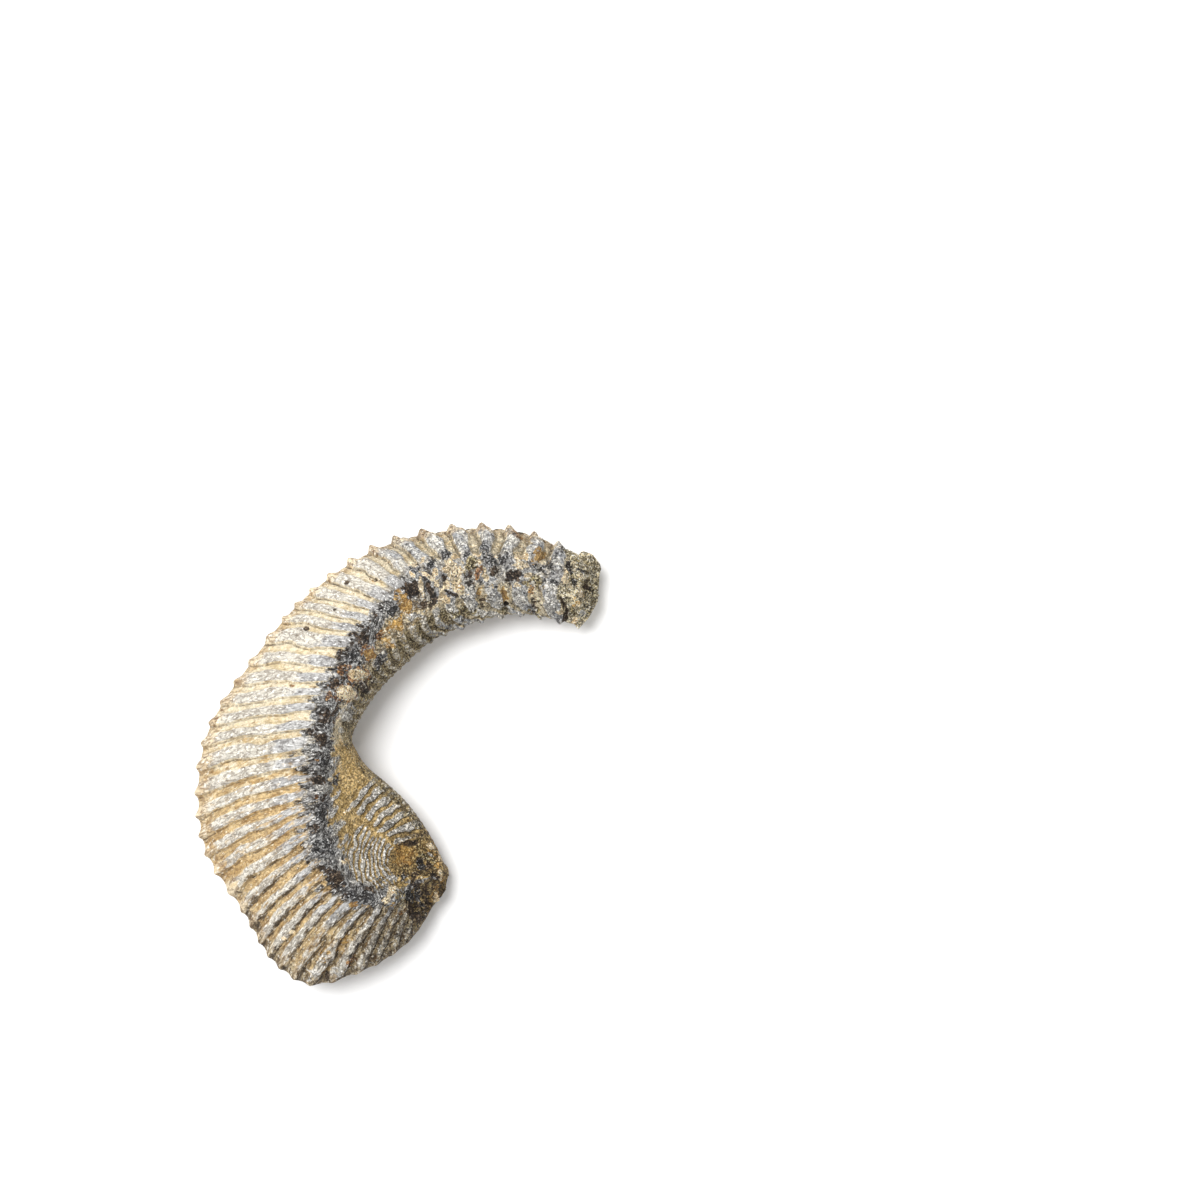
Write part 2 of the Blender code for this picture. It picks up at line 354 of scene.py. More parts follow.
@dataclass(frozen=True)
class Growth:
    """The form that both valves share: how the shell grew from the beak to the broken tip."""

    seam_share: float = 0.44        # the seam's height as a share of the crest's
    swing_share: float = 0.26       # the seam's swing up and down as a share of the ribs' pitch
    swing_most: float = 1.4         # its largest swing (mm)
    swing_round: float = 0.8        # how round the swing's tops are
    push: float = 0.15              # how far the margin stands out, as a share of the ribs' relief
    small_teeth: float = 0.13       # the half-size teeth between the ribs, as such a share
    teeth: float = 0.18             # the teeth at the ribs, as such a share
    tooth_share: Curve = Curve((0.0, 6.0, 10.0, 22.0, 27.0, 36.0, 41.0), (1.4, 1.3, 0.9, 0.8, 0.5, 0.35, 0.3))
    bold_ribs: Span = (7.0, 12.0)   # where the arm's larger teeth end
    bold_push: float = -0.3
    bold_small: float = 0.06
    bold_teeth: float = 0.22
    rib_relief: float = 0.34        # a rib's height over its groove as a share of the ribs' pitch
    relief_most: float = 1.7
    drift: Curve = Curve((0, 9, 10.7, 12.2, 13.4, 14.7, 17.3, 19.5, 21.5, 23, 25, 26.5, 28, 31, 34, 41),
                         (0.0, 0.0, 0.12, 0.0, -0.18, 0.15, 0.2, 0.05, 0.04, -0.18, -0.28, -0.06, -0.12,
                          -0.16, 0.0, 0.0))     # how far the ribs lie from even spacing, in ribs
    dish_ribs: Limits = (17.0, 22.0, 38.0, 41.0)
    outer_bow: float = 0.045        # a flank's sideways bow as a share of its length
    curl_bow: float = -0.27
    curl_ribs: Limits = (26.0, 34.0, 38.0, 41.5)
    tip: End = End((0.0, 2.3, 4.3), (1.0, 0.80, 0.42), (1.0, 0.68, 0.30), (0.93, 0.36), 1.2)
    beak: End = End((0.0, 0.7, 1.2), (1.0, 0.80, 0.40), (1.0, 0.85, 0.50), (0.97, -0.2), 0.5)
    end_seed: int = 5
    end_rough: Ripple = Ripple(0.5, 2.6, 0.0, 3, 0.6)
    end_mean: float = 0.75          # the mean depth of an end's face, as a share of its hollow
    end_rim: Span = (0.0, 0.35)     # the rim's width, as a share of the closing rows

    def rows(self, per_rib: int, tip_rows: int, beak_rows: int, cap_rows: int) -> Rows:
        """Lists the rows from the tip's cap to the beak's cap.

        Args:
            per_rib: Rows for each rib.
            tip_rows: Rows down the broken tip.
            beak_rows: Rows round the beak.
            cap_rows: Rows that close each end on its middle.

        Returns:
            The rows.
        """
        last = STATIONS[-1, 0]
        tip = np.linspace(self.tip.reach[-1], 0.0, tip_rows, endpoint=False)
        beak = np.linspace(self.beak.reach[-1], 0.0, beak_rows, endpoint=False)[::-1]
        tip = np.concatenate((np.full(cap_rows, tip[0]), tip))
        beak = np.concatenate((beak, np.full(cap_rows, beak[-1])))
        middle = np.linspace(0.0, last, int(last * per_rib) + 1)
        even = np.ones(len(middle))
        closing = np.linspace(1.0, 0.0, cap_rows + 2)[1:-1]
        number = np.concatenate((np.zeros(len(tip)), middle, np.full(len(beak), last)))
        shift = np.concatenate((tip[:, None] * np.array(self.tip.way), np.zeros((len(middle), 2)),
                                beak[:, None] * np.array(self.beak.way)))
        wide, high = (np.concatenate((np.interp(tip, self.tip.reach, tip_shares), even,
                                      np.interp(beak, self.beak.reach, beak_shares)))
                      for tip_shares, beak_shares in ((self.tip.wide, self.beak.wide),
                                                      (self.tip.high, self.beak.high)))
        close = np.concatenate((closing, np.zeros(len(number) - 2 * cap_rows), closing[::-1]))
        return Rows(number, shift, wide, high, close)

    def guides(self, rows: Rows) -> Guides:
        """Reads the guide lines from the stations.

        Args:
            rows: The rows.

        Returns:
            The guide lines of all rows.
        """
        read = spline(STATIONS[:, 0], STATIONS[:, 1:], rows.number)
        outer, crest, inner = (read[:, first:first + 2] - ORIGIN for first in (0, 2, 4))
        middle = (outer + inner) / 2
        wide = rows.wide[:, None]
        outer, crest, inner = (middle + (line - middle) * wide + rows.shift
                               for line in (outer, crest, inner))
        height = read[:, -1]
        return Guides(outer, crest, inner, self.seam_share * height, height * rows.high)

    def phase(self, number: Array) -> Array:
        """The rib number with the real ribs' uneven spacing: whole on an upper rib's top."""
        return number - self.drift.smooth_at(number)

    def pitch(self, line: Array, number: Array) -> Array:
        """The length of a line for each rib, level over the end rows.

        Args:
            line: One point for each row.
            number: The rows' rib numbers.

        Returns:
            The pitch at each row (mm).
        """
        whole = (number > 0) & (number < STATIONS[-1, 0])
        speed = np.linalg.norm(np.gradient(line[whole], number[whole], axis=0), axis=1)
        return np.interp(number, number[whole], speed)

    def relief(self, pitch: Array) -> Array:
        """A rib's height over its groove at this rib pitch."""
        return np.minimum(self.rib_relief * pitch, self.relief_most)

    def bows(self, number: Array) -> tuple[Array, Array]:
        """The sideways bows of the outer and the inner flank, as shares of their length."""
        return np.full(number.shape, self.outer_bow), self.curl_bow * plateau(self.curl_ribs, number)

    def large_teeth(self, number: Array) -> Array:
        """1 on the arm, whose outer margin has larger teeth, and 0 past it."""
        return 1.0 - smooth(*self.bold_ribs, number)

    def seam_edge(self, line: Array, other: Array, seam: Array, number: Array, bold: float) -> Array:
        """The zigzag margin that the two valves share on one side.

        Args:
            line: The margin's guide line.
            other: The other margin's guide line.
            seam: The seam's mean height.
            number: The rib numbers.
            bold: How much of the arm's large teeth this side has.

        Returns:
            A point for each row.
        """
        phase = self.phase(number)
        pitch = self.pitch(line, number)
        turn = np.cos(np.pi * phase)
        wave = np.abs(turn) ** self.swing_round + turn ** 2 - 1.0
        tall = self.tooth_share.at(number)
        large = bold * self.large_teeth(number)
        push = self.push + self.bold_push * large
        push = push + (self.small_teeth * tall + self.bold_small * large) * np.cos(4 * np.pi * phase)
        push = push + (self.teeth * tall + self.bold_teeth * large) * np.cos(2 * np.pi * phase)
        plan = line + unit(line - other) * (push * self.relief(pitch))[:, None]
        return np.column_stack((plan, seam + np.minimum(self.swing_share * pitch, self.swing_most) * wave))


@dataclass(frozen=True)
class FlankForm:
    """A flank's height share over its reach, from 1 on the crest to 0 on the margin."""

    bend: float         # how long the flank stays level below the crest
    drop: float         # how steep it meets the margin: steeper when lower

    def at(self, reach: Array) -> Array:
        """The height share at a reach of 0 on the crest to 1 on the margin."""
        return (1.0 - reach ** self.bend) ** self.drop


@dataclass(frozen=True)
class DishForm:
    """The shallow dish inside the curl, with its short drop at the margin."""

    floor: float = 0.38
    bend: float = 1.6
    margin: FlankForm = FlankForm(10.0, 0.5)

    def at(self, reach: Array) -> Array:
        """The height share at a reach of 0 on the crest to 1 on the margin."""
        return (self.floor + (1.0 - self.floor) * (1.0 - reach) ** self.bend) * self.margin.at(reach)


OUTER_FLANK = FlankForm(1.6, 0.7)
INNER_FLANK = FlankForm(2.0, 0.6)
OUTER_SLOPE = 0.5       # a flank's height over its width, for the spacing of its columns
INNER_SLOPE = 0.8
FINE_STEPS = 2001       # steps with which a flank's length is measured


def even_steps(count: int, form: FlankForm, slope: float) -> Array:
    """Steps from the margin (0) to the ridge (1) at even distances over a flank.

    Args:
        count: How many steps.
        form: The flank's height share.
        slope: The flank's height over its width.

    Returns:
        The steps.
    """
    fine = np.linspace(0.0, 1.0, FINE_STEPS)
    rise = form.at(1.0 - fine) * slope
    length = np.concatenate(((0.0,), np.cumsum(np.hypot(np.diff(fine), np.diff(rise)))))
    return np.interp(np.linspace(0.0, length[-1], count), length, fine)


@dataclass(frozen=True)
class RibShape:
    """A rib's profile over one pitch: a round rib, a sharp crevice on one side and a smooth groove."""

    groove: float = -0.36
    crown: float = 0.82
    roundness: float = 3.0
    left: Span = (-0.42, -0.24)
    right: Span = (0.17, 0.31)
    crevice_at: float = 0.315
    crevice_wide: float = 0.035
    crevice_deep: float = 0.30
    faint_at: float = -0.36
    faint_wide: float = 0.03
    faint_deep: float = 0.08
    faint_share: float = 0.35
    lee_side: Limits = (-0.06, 0.14, 0.36, 0.46)

    def place(self, phase: Array) -> Array:
        """The place over the pitch, from -0.5 to 0.5 with 0 on the rib's top."""
        return phase - np.floor(phase + 0.5)

    def dome(self, phase: Array) -> Array:
        """1 on the rib and 0 in the groove."""
        return plateau((*self.left, *self.right), self.place(phase))

    def cuts(self, phase: Array) -> tuple[Array, Array]:
        """The sharp crevice and the faint one on the rib's other side, each 1 in its middle."""
        place = self.place(phase)
        return bump(self.crevice_at, self.crevice_wide, place), bump(self.faint_at, self.faint_wide, place)

    def crevice_shade(self, phase: Array) -> Array:
        """Where the crevices are darkened with painted shade: 1 in the sharp crevice and less in the faint
        one.
        """
        sharp, faint = self.cuts(phase)
        return sharp + self.faint_share * faint

    def lee_shade_and_dirt(self, phase: Array) -> Array:
        """1 on the rib's side that falls to the crevice, where painted shade and dirt are laid."""
        return plateau(self.lee_side, self.place(phase))

    def height(self, phase: Array) -> Array:
        """The profile's height.

        Args:
            phase: The rib phases.

        Returns:
            Heights from about -0.6 to 0.5.
        """
        dome = self.dome(phase)
        sharp, faint = self.cuts(phase)
        round_top = 1.0 - self.roundness * (self.place(phase) * dome) ** 2
        cuts = self.crevice_deep * sharp + self.faint_deep * faint
        return self.groove + self.crown * dome * round_top - cuts


@dataclass(frozen=True)
class RibCourse:
    """How the ribs stray between the margin and the crest."""

    flank: float = 6.0              # a flank's length in the noise, in ribs
    wander: tuple[Ripple, Ripple] = (Ripple(0.12, 2.2), Ripple(0.10, 0.7, 7.0))
    wander_edge: int = 6            # the higher, the closer to the margin the wander goes
    inner_edge: int = 8             # the same for the inner flank's own count of ribs
    uneven: Ripple = Ripple(1.0, 1.1, 23.0)
    uneven_share: float = 0.045     # how uneven the ribs' widths are
    uneven_beak: Patch = Patch((24.0, 29.0, *PAST), strength=0.06)
    lean: Curve = Curve((0, 31, 32.5, 34, 36, 38, 41), (0.0, 0.0, 0.5, 0.9, 1.4, 1.7, 1.7))
    inner_count: Curve = Curve((0, 2.05, 3.5, 4.75, 5.9, 7, 9, 11, 41),
                               (0.2, 1.5, 2.5, 3.5, 4.55, 5.6, 7.75, 10, 40))

    def phases(self, growth: Growth, facing: Side, number: Array, aside: Array, noise: Noise) -> Array:
        """The rib phase of every point: whole on a rib's top.

        Args:
            growth: The shell's growth.
            facing: Which way the valve faces; the lower ribs lie under the upper grooves.
            number: The rib numbers.
            aside: The places across.
            noise: The valve's noise.

        Returns:
            The phases.
        """
        reach = np.abs(aside)
        lattice = rib_lattice(number, aside, self.flank)
        wander = sum(ripple.at(noise, lattice) for ripple in self.wander)
        outer = growth.phase(np.clip(number - self.lean.at(number) * (1.0 - reach), 0.0, None))
        seam = growth.phase(number)
        inner = seam + (self.inner_count.at(number) - seam) * (1.0 - reach ** self.inner_edge)
        turn = 0.0 if facing is Side.UP else 0.5
        phase = np.where(aside > 0, inner, outer) + turn + wander * (1.0 - reach ** self.wander_edge)
        uneven = self.uneven_share + self.uneven_beak.strength * plateau(self.uneven_beak.ribs, number)
        return phase + uneven * self.uneven.at(noise, lattice) * np.sin(2 * np.pi * phase)


@dataclass
class Surface:
    """One valve's grid of points with what shapes and colours them; the last columns are the seam's face."""

    points: Array                   # rows x columns x 3 (mm)
    masks: Masks = field(default_factory=dict)
    lay: Array | None = None        # along and across the shell, for grain that follows the ribs

    def normals(self, facing: Side, ridge: int) -> Array:
        """The face directions of the closed grid.

        Args:
            facing: Which way the outside faces.
            ridge: The column on the ridge.

        Returns:
            A direction for each point.
        """
        along = np.gradient(self.points, axis=0)
        over = np.roll(self.points, -1, axis=1) - np.roll(self.points, 1, axis=1)
        made = unit(np.cross(along, over))
        return made * np.sign(made[:, ridge, 2].sum() * facing.value)


class Tone(Enum):
    """The stone that a mark shows; each has a mask and a layer of the same name."""

    PALE = "pale"
    INK = "ink"
    BROWN = "brown"
    RUST = "rust"
    AMBER = "amber"
    CREAM = "cream"
    OLIVE = "olive"


@dataclass(frozen=True)
class Mark:
    """One mark on the upper valve, placed by its middle in plan (mm)."""

    tone: Tone
    x: float
    y: float
    long: float
    wide: float
    turn: float = 0.0       # degrees from +x to its long side
    lift: float = 0.0       # how far its middle stands out, or lies in when below 0
    strength: float = 1.0
    ragged: float = 1.0     # how far its rim strays

    def reach(self, points: Array) -> Array:
        """The distance from the mark's middle in plan.

        Args:
            points: The places (mm).

        Returns:
            Distances of 1 on its rim.
        """
        angle = np.radians(self.turn)
        dx = points[..., 0] - self.x
        dy = points[..., 1] - self.y
        far = dx * np.cos(angle) + dy * np.sin(angle)
        aside = dy * np.cos(angle) - dx * np.sin(angle)
        return np.hypot(far / self.long, aside / self.wide)


PALE, INK, BROWN, RUST, AMBER, CREAM, OLIVE = Tone

MARKS = tuple(Mark(*row) for row in (
    # the filled borings beside the crest, and the stain round them
    (BROWN, -12.6, 15.6, 2.4, 1.9, 60, -0.1, 0.9),
    (BROWN, -7.2, 16.2, 2.6, 1.5, 60, -0.1, 0.8),
    (INK, -8.2, 22.9, 2.6, 1.6, 60, -0.2, 0.9),
    (INK, -3.4, 21.4, 2, 1.2, 60, -0.2, 0.8),
    (BROWN, -6.8, 25.6, 2.2, 1.4, 50, -0.1, 0.8),
    (RUST, -10.6, 19, 1.3, 1.1, 40, 0.1, 0.9),
    (RUST, -13.7, 14.3, 0.9, 1.5, 10, 0, 0.9),
    (RUST, -10.5, 14.3, 2.25, 2.2, 0, 0.25, 0.9, 0.6),
    (CREAM, -10.5, 14.3, 1.8, 1.65, 0, 0.3, 1, 0.3),
    (RUST, -8.1, 18.3, 2.5, 1.7, -12, 0.25, 0.8, 0.6),
    (CREAM, -8, 18.3, 2, 1.2, -12, 0.3, 1, 0.3),
    (RUST, -5.7, 22.7, 1.9, 1.8, 0, 0.3, 0.9, 0.6),
    (AMBER, -5.6, 22.6, 1.4, 1.3, 0, 0.2, 1, 0.4),
    (RUST, -11.4, 9.2, 1.2, 0.7, 40, 0.1, 0.5),
    # the broken end and the ribs beside it
    (OLIVE, 30, 38.6, 3, 2.2, 10, 0, 0.8),
    (OLIVE, 29.9, 32.2, 1.5, 2.4, 0, -0.2, 0.8),
    (CREAM, 28.6, 39.6, 1.6, 0.7, 20, 0.2, 0.7),
    (CREAM, 32.4, 37.2, 1.7, 0.7, 60, 0.2, 0.7),
    (INK, 30.4, 41.7, 2.4, 0.5, -20, -0.3, 0.9),
    (PALE, 35.4, 45, 1.2, 2.2, -30, 0.4, 0.9),
    (PALE, 33.4, 42.6, 1.2, 2, -40, 0.4, 0.8),
    (INK, 33.3, 40.9, 1.6, 1.1, 30, 0.1, 0.7),
    (PALE, 33.6, 34.4, 1.7, 3.2, 14, 0.6, 0.95),
    (CREAM, 35.5, 32, 1.7, 0.5, -30, 0.5, 0.95),
    (CREAM, 38.9, 38.4, 3, 2.4, 0, 0.1, 0.5),
    (INK, 37.9, 41.4, 0.6, 1.9, 20, -0.7, 0.9),
    (INK, 38.9, 38.3, 0.5, 1.6, 10, -0.6, 0.9),
    (INK, 40.8, 40.6, 1.8, 0.6, -20, -0.5, 0.8),
    (CREAM, 40.6, 39.2, 1.9, 0.7, -30, 0.4, 0.8),
    (CREAM, 37, 39, 0.7, 1.8, 10, 0.4, 0.8),
    (CREAM, 40.2, 35.8, 1.4, 0.9, -50, 0.4, 0.8),
    (AMBER, 39.4, 33.5, 1.4, 0.8, -20, 0.3, 0.7),
    (CREAM, 39.8, 33.2, 0.8, 0.5, -20, 0.3, 0.7),
    (AMBER, 37.9, 35.4, 1.3, 0.5, -40, 0.2, 0.6),
    (OLIVE, 42, 37, 1.3, 3, 35, -0.3, 0.9),
    (BROWN, 42.6, 36.6, 0.5, 2, 40, -0.2, 0.9),
    (PALE, 40.6, 31.4, 0.9, 1, 20, 0.4, 0.9),
    (OLIVE, 38.2, 31.2, 1.5, 1.2, 0, 0, 0.8),
    (CREAM, 38.9, 29.5, 1.4, 0.6, 30, 0.4, 0.9),
    (BROWN, 36.6, 33, 0.5, 3, 25, -0.9, 1),
    (BROWN, 36.9, 30.6, 0.6, 1.4, -20, -0.5, 0.9),
    # the outer end of the arm
    (INK, 4.2, 41, 1, 1.9, -30, -0.1, 0.8),
    (INK, 7.9, 42.1, 0.9, 1.5, -25, -0.1, 0.8),
    (INK, 10.9, 43.6, 1, 1.4, -20, -0.2, 0.9),
    (INK, 15.2, 44, 1.1, 1.6, -10, -0.1, 0.8),
    (INK, 19.3, 44.4, 1.2, 1.8, 0, -0.1, 0.8),
    (INK, 32.8, 41.5, 2.2, 1, 20, -0.1, 0.7),
    (INK, 35.2, 44, 1.8, 1, 40, -0.1, 0.6),
    (OLIVE, 16.2, 40.6, 1.5, 3.4, -10, -0.3, 0.9),
    (OLIVE, 18, 33.4, 1.2, 2.6, -5, -0.3, 0.8),
    (OLIVE, 12.8, 31.6, 3, 1.2, 12, 0, 0.8),
    (OLIVE, 23.4, 32.4, 1.2, 2.2, 0, -0.3, 0.8),
    (INK, 23.9, 41.4, 1.9, 2.2, -20, -0.3, 0.85),
    (CREAM, 12.2, 40.6, 2.4, 2.6, -30, 0.35, 0.95),
    (CREAM, 13.6, 36.9, 1.7, 2.4, 20, 0.3, 0.9),
    (CREAM, 3.8, 39.4, 1.3, 0.5, -40, 0.3, 0.9),
    (CREAM, 7.2, 39.3, 1.8, 0.5, -30, 0.3, 0.9),
    (CREAM, 10.4, 34.3, 1.9, 0.9, 0, 0.2, 0.9),
    (CREAM, 21.8, 43.6, 0.5, 1.4, 20, 0.2, 0.8),
    (PALE, 14.6, 34.7, 2, 0.8, -20, 0.3, 0.9),
    (CREAM, 26.5, 41.6, 2.4, 0.8, 10, 0.1, 0.7),
    (BROWN, 3.7, 36.2, 2, 2.7, 25, -0.4, 1),
    (BROWN, 7.9, 35.6, 0.9, 2.6, 20, -0.4, 1),
    (BROWN, 6, 33.2, 2.4, 0.9, 0, -0.2, 0.9),
    (CREAM, 5.7, 36.9, 0.55, 2.7, 8, 0.4, 1),
    (BROWN, 10.7, 39, 0.9, 1.2, 0, -0.2, 0.7),
    (BROWN, 12.4, 35.4, 2.4, 0.6, -30, -0.2, 0.8),
    (BROWN, 16.1, 38.6, 1.4, 2, -20, -0.2, 0.7),
    (BROWN, 25.1, 39.8, 2.4, 1.5, -20, -0.4, 1),
    (BROWN, 21.6, 40.6, 1.6, 1.2, 0, -0.2, 0.7),
    (INK, 23.2, 42.6, 1.4, 2, 0, -0.3, 0.9),
    (RUST, 18, 40.1, 0.7, 1.3, -30, 0, 0.9),
    (RUST, 26.2, 48.6, 1, 0.9, 0, 0, 0.5),
    (RUST, 29.4, 36.2, 0.8, 2, -10, 0, 0.6),
    (AMBER, 31.5, 44.1, 2, 1.3, 25, -0.2, 0.9),
    (AMBER, 18, 35.4, 1.1, 1.9, -20, -0.4, 0.8),
    (AMBER, 23.6, 34.9, 0.8, 2.1, 5, -0.5, 0.9),
    (BROWN, 23.9, 33.2, 0.7, 0.6, 0, -0.6, 1),
    (BROWN, 18.8, 33.4, 0.8, 2, -10, -0.2, 0.6),
    (BROWN, 29.9, 33.4, 0.9, 1.6, 0, -0.3, 0.6),
    (INK, 21.7, 37.4, 0.5, 0.4, 0, -0.2, 1),
    (AMBER, 1.7, 33.2, 1.8, 2.7, 35, 0.1, 0.9),
    (AMBER, 0.2, 28.9, 2.9, 1.3, 20, 0.1, 0.8),
    (AMBER, -1.5, 25.2, 1.1, 1.5, 30, 0.1, 0.8),
    (RUST, -3.2, 26.8, 1.4, 0.9, 60, 0, 0.7),
    (INK, -0.4, 32, 1, 2.4, -30, -0.2, 0.9),
    (PALE, 3.6, 30.6, 2.4, 0.8, 25, 0.2, 0.8),
    (PALE, 17, 34.6, 0.9, 1.8, -10, 0.3, 0.6),
    (PALE, 20.6, 35, 1.3, 2.2, 5, 0.3, 0.7),
    (PALE, 26.4, 35, 1.6, 2, 5, 0.3, 0.7),
    (PALE, 33.4, 33.8, 1.5, 2.6, 10, 0.3, 0.7),
    # the crest above the curl, and the knobs on its inner side
    (BROWN, -15.2, 4.2, 1.4, 1.6, 0, -0.2, 0.9),
    (INK, -15.4, -0.4, 1.2, 1.4, 0, -0.3, 0.9),
    (RUST, -16.1, -0.2, 0.4, 0.4, 0, 0, 0.9),
    (BROWN, -15.8, -4.6, 2, 1.1, 0, -0.3, 0.9),
    (BROWN, -15.8, -8.2, 1.7, 1, 0, -0.2, 0.8),
    (RUST, -16.3, -7.9, 0.7, 0.5, 0, 0, 0.8),
    (INK, -15.5, -11.8, 2.2, 2.8, 0, 0, 0.65),
    (INK, -15.1, -18.6, 2.2, 2.8, 0, 0, 0.65),
    (BROWN, -12.4, -25.8, 2.4, 1.8, -50, -0.1, 0.7),
    (BROWN, -6.2, -28.8, 3, 1.5, -18, -0.1, 0.7),
    (PALE, -10.9, 9.6, 1.3, 1.6, 20, 0.4, 0.8),
    (CREAM, -13.4, 4.5, 0.6, 0.7, 0, 0.3, 0.8),
    (INK, -13.1, -4.7, 1.3, 1.2, 0, 0.1, 0.9),
    (CREAM, -13.9, -4.4, 0.6, 0.6, 0, 0.4, 0.9),
    (PALE, -14.9, -6, 1.9, 0.5, -12, 0.5, 0.9),
    (PALE, -12.9, -8.2, 1.4, 0.6, 50, 0.5, 0.9),
    (PALE, -13.2, -11.6, 1.9, 0.6, 48, 0.5, 0.9),
    (PALE, -12, -14.9, 1.9, 0.6, 55, 0.4, 0.8),
    (PALE, -11, -17.9, 1.8, 0.5, 62, 0.4, 0.8),
    (PALE, -11.6, -19.9, 1.2, 0.5, 60, 0.3, 0.7),
    (CREAM, -10.5, -22, 0.7, 1.3, -10, 0.2, 0.6),
    (RUST, -12, -31.4, 1.3, 0.6, 30, 0, 0.5),
    # the curl's middle and the beak
    (AMBER, 2, -22, 2.9, 2.8, 0, -0.9, 0.75),
    (BROWN, 3.4, -19.4, 2, 0.9, -10, -0.4, 0.8),
    (OLIVE, 6.2, -23.6, 2.8, 2.2, -20, -0.5, 0.9),
    (BROWN, 5.8, -24, 1.9, 1.3, -30, -0.9, 1),
    (INK, 5.2, -23.8, 1.1, 1.2, -20, -0.5, 0.9),
    (PALE, 6.9, -22.2, 1.1, 0.4, -40, 0.2, 0.8),
    (AMBER, 6.6, -20.4, 2.6, 1.3, -30, 0.4, 0.6),
    (CREAM, 6.6, -20.3, 1.6, 0.6, -30, 0.3, 0.7),
    (AMBER, 8.9, -23.6, 1.1, 2.6, 10, 0.5, 0.6),
    (CREAM, 9, -23.2, 0.6, 2, 14, 0.3, 0.8),
    (AMBER, 8.9, -27.4, 0.8, 2, 6, 0.5, 0.7),
    (CREAM, 8.6, -26.8, 0.4, 1.2, -8, 0.3, 0.8),
    (CREAM, 4.2, -26.4, 2.2, 0.6, -20, 0.3, 0.8),
    (BROWN, 7.6, -26.6, 0.6, 1.6, 15, -0.4, 0.9),
    (INK, 0.5, -26.3, 3.4, 1.1, -14, 0.1, 0.7),
    (PALE, -0.8, -26.4, 2, 0.9, -10, 0.2, 0.8),
    (PALE, 2.6, -27.8, 1.4, 1, -20, 0.2, 0.9),
    (CREAM, -0.4, -30.6, 2.3, 2.6, 30, 0.5, 1, 0.7),
    (AMBER, -0.6, -31.6, 1.3, 1.4, 40, 0.2, 0.5),
    (OLIVE, 4.6, -32, 3.6, 5.6, 20, -0.2, 0.9),
    (BROWN, 4.4, -31.2, 2.3, 4.6, 12, -1, 1),
    (INK, 3.4, -31, 1.1, 3.4, 12, -0.4, 0.9),
    (BROWN, 3.4, -35, 1.4, 2.6, 25, -0.3, 0.9),
    (BROWN, 6.6, -31.6, 0.5, 3.4, 8, -0.4, 0.9),
    (RUST, 1.3, -33.9, 1, 0.5, 30, 0.1, 0.6),
    (CREAM, 1.6, -33, 0.9, 0.4, 30, 0.2, 0.8),
    (INK, 5.2, -32.4, 0.6, 3.4, 8, -0.3, 0.8),
    (AMBER, 7.9, -31.8, 0.7, 3, -4, 0.4, 0.7),
    (CREAM, 7.9, -32.6, 0.4, 2, -4, 0.3, 0.95),
    (AMBER, -8.6, -31, 1.3, 0.8, 30, 0.1, 0.8),
    (AMBER, -6.2, -31.4, 1.1, 0.8, 30, 0.1, 0.8),
    (INK, -7.6, -29.4, 3.6, 1.5, -18, -0.2, 0.8),
    (RUST, -10.1, -45, 1, 2.6, -35, -0.2, 0.7),
    (AMBER, -11.4, -40.4, 1.3, 3, -38, -0.1, 0.6),
    (AMBER, -15.6, -43.6, 1.1, 3, -40, -0.1, 0.5),
    # the worn knobs on the margin near the beak
    (PALE, -18.6, -47.6, 1.5, 2.4, -30, 0.5, 0.55),
    (PALE, -12.9, -47.2, 1.3, 2.2, -25, 0.5, 0.6),
    (PALE, -8.2, -46.2, 1.1, 1.7, -20, 0.4, 0.5),
    (AMBER, -15.9, -47.8, 0.7, 2, -25, -0.4, 0.7),
    (BROWN, -15.6, -48.6, 0.5, 1.2, -25, -0.3, 0.7),
    (CREAM, -24.3, -39.4, 0.6, 0.5, 0, 0.2, 1),
    # small pits and specks on the outer flank
    (BROWN, -19.6, 28, 0.6, 0.5, 0, -0.4, 1),
    (BROWN, -4.6, 38.8, 0.6, 0.5, 0, -0.4, 1),
    (RUST, -5.6, 38.9, 1.3, 0.5, -20, 0, 0.6),
    (BROWN, -10.8, 38, 0.6, 0.4, 0, -0.3, 0.9),
    (BROWN, -13.3, 32.3, 0.5, 0.4, 0, -0.3, 0.9),
    (RUST, -22.3, 15.8, 0.8, 0.4, 0, -0.2, 0.7),
    (CREAM, -22.5, -37.8, 0.6, 0.6, 0, 0.1, 1),
))


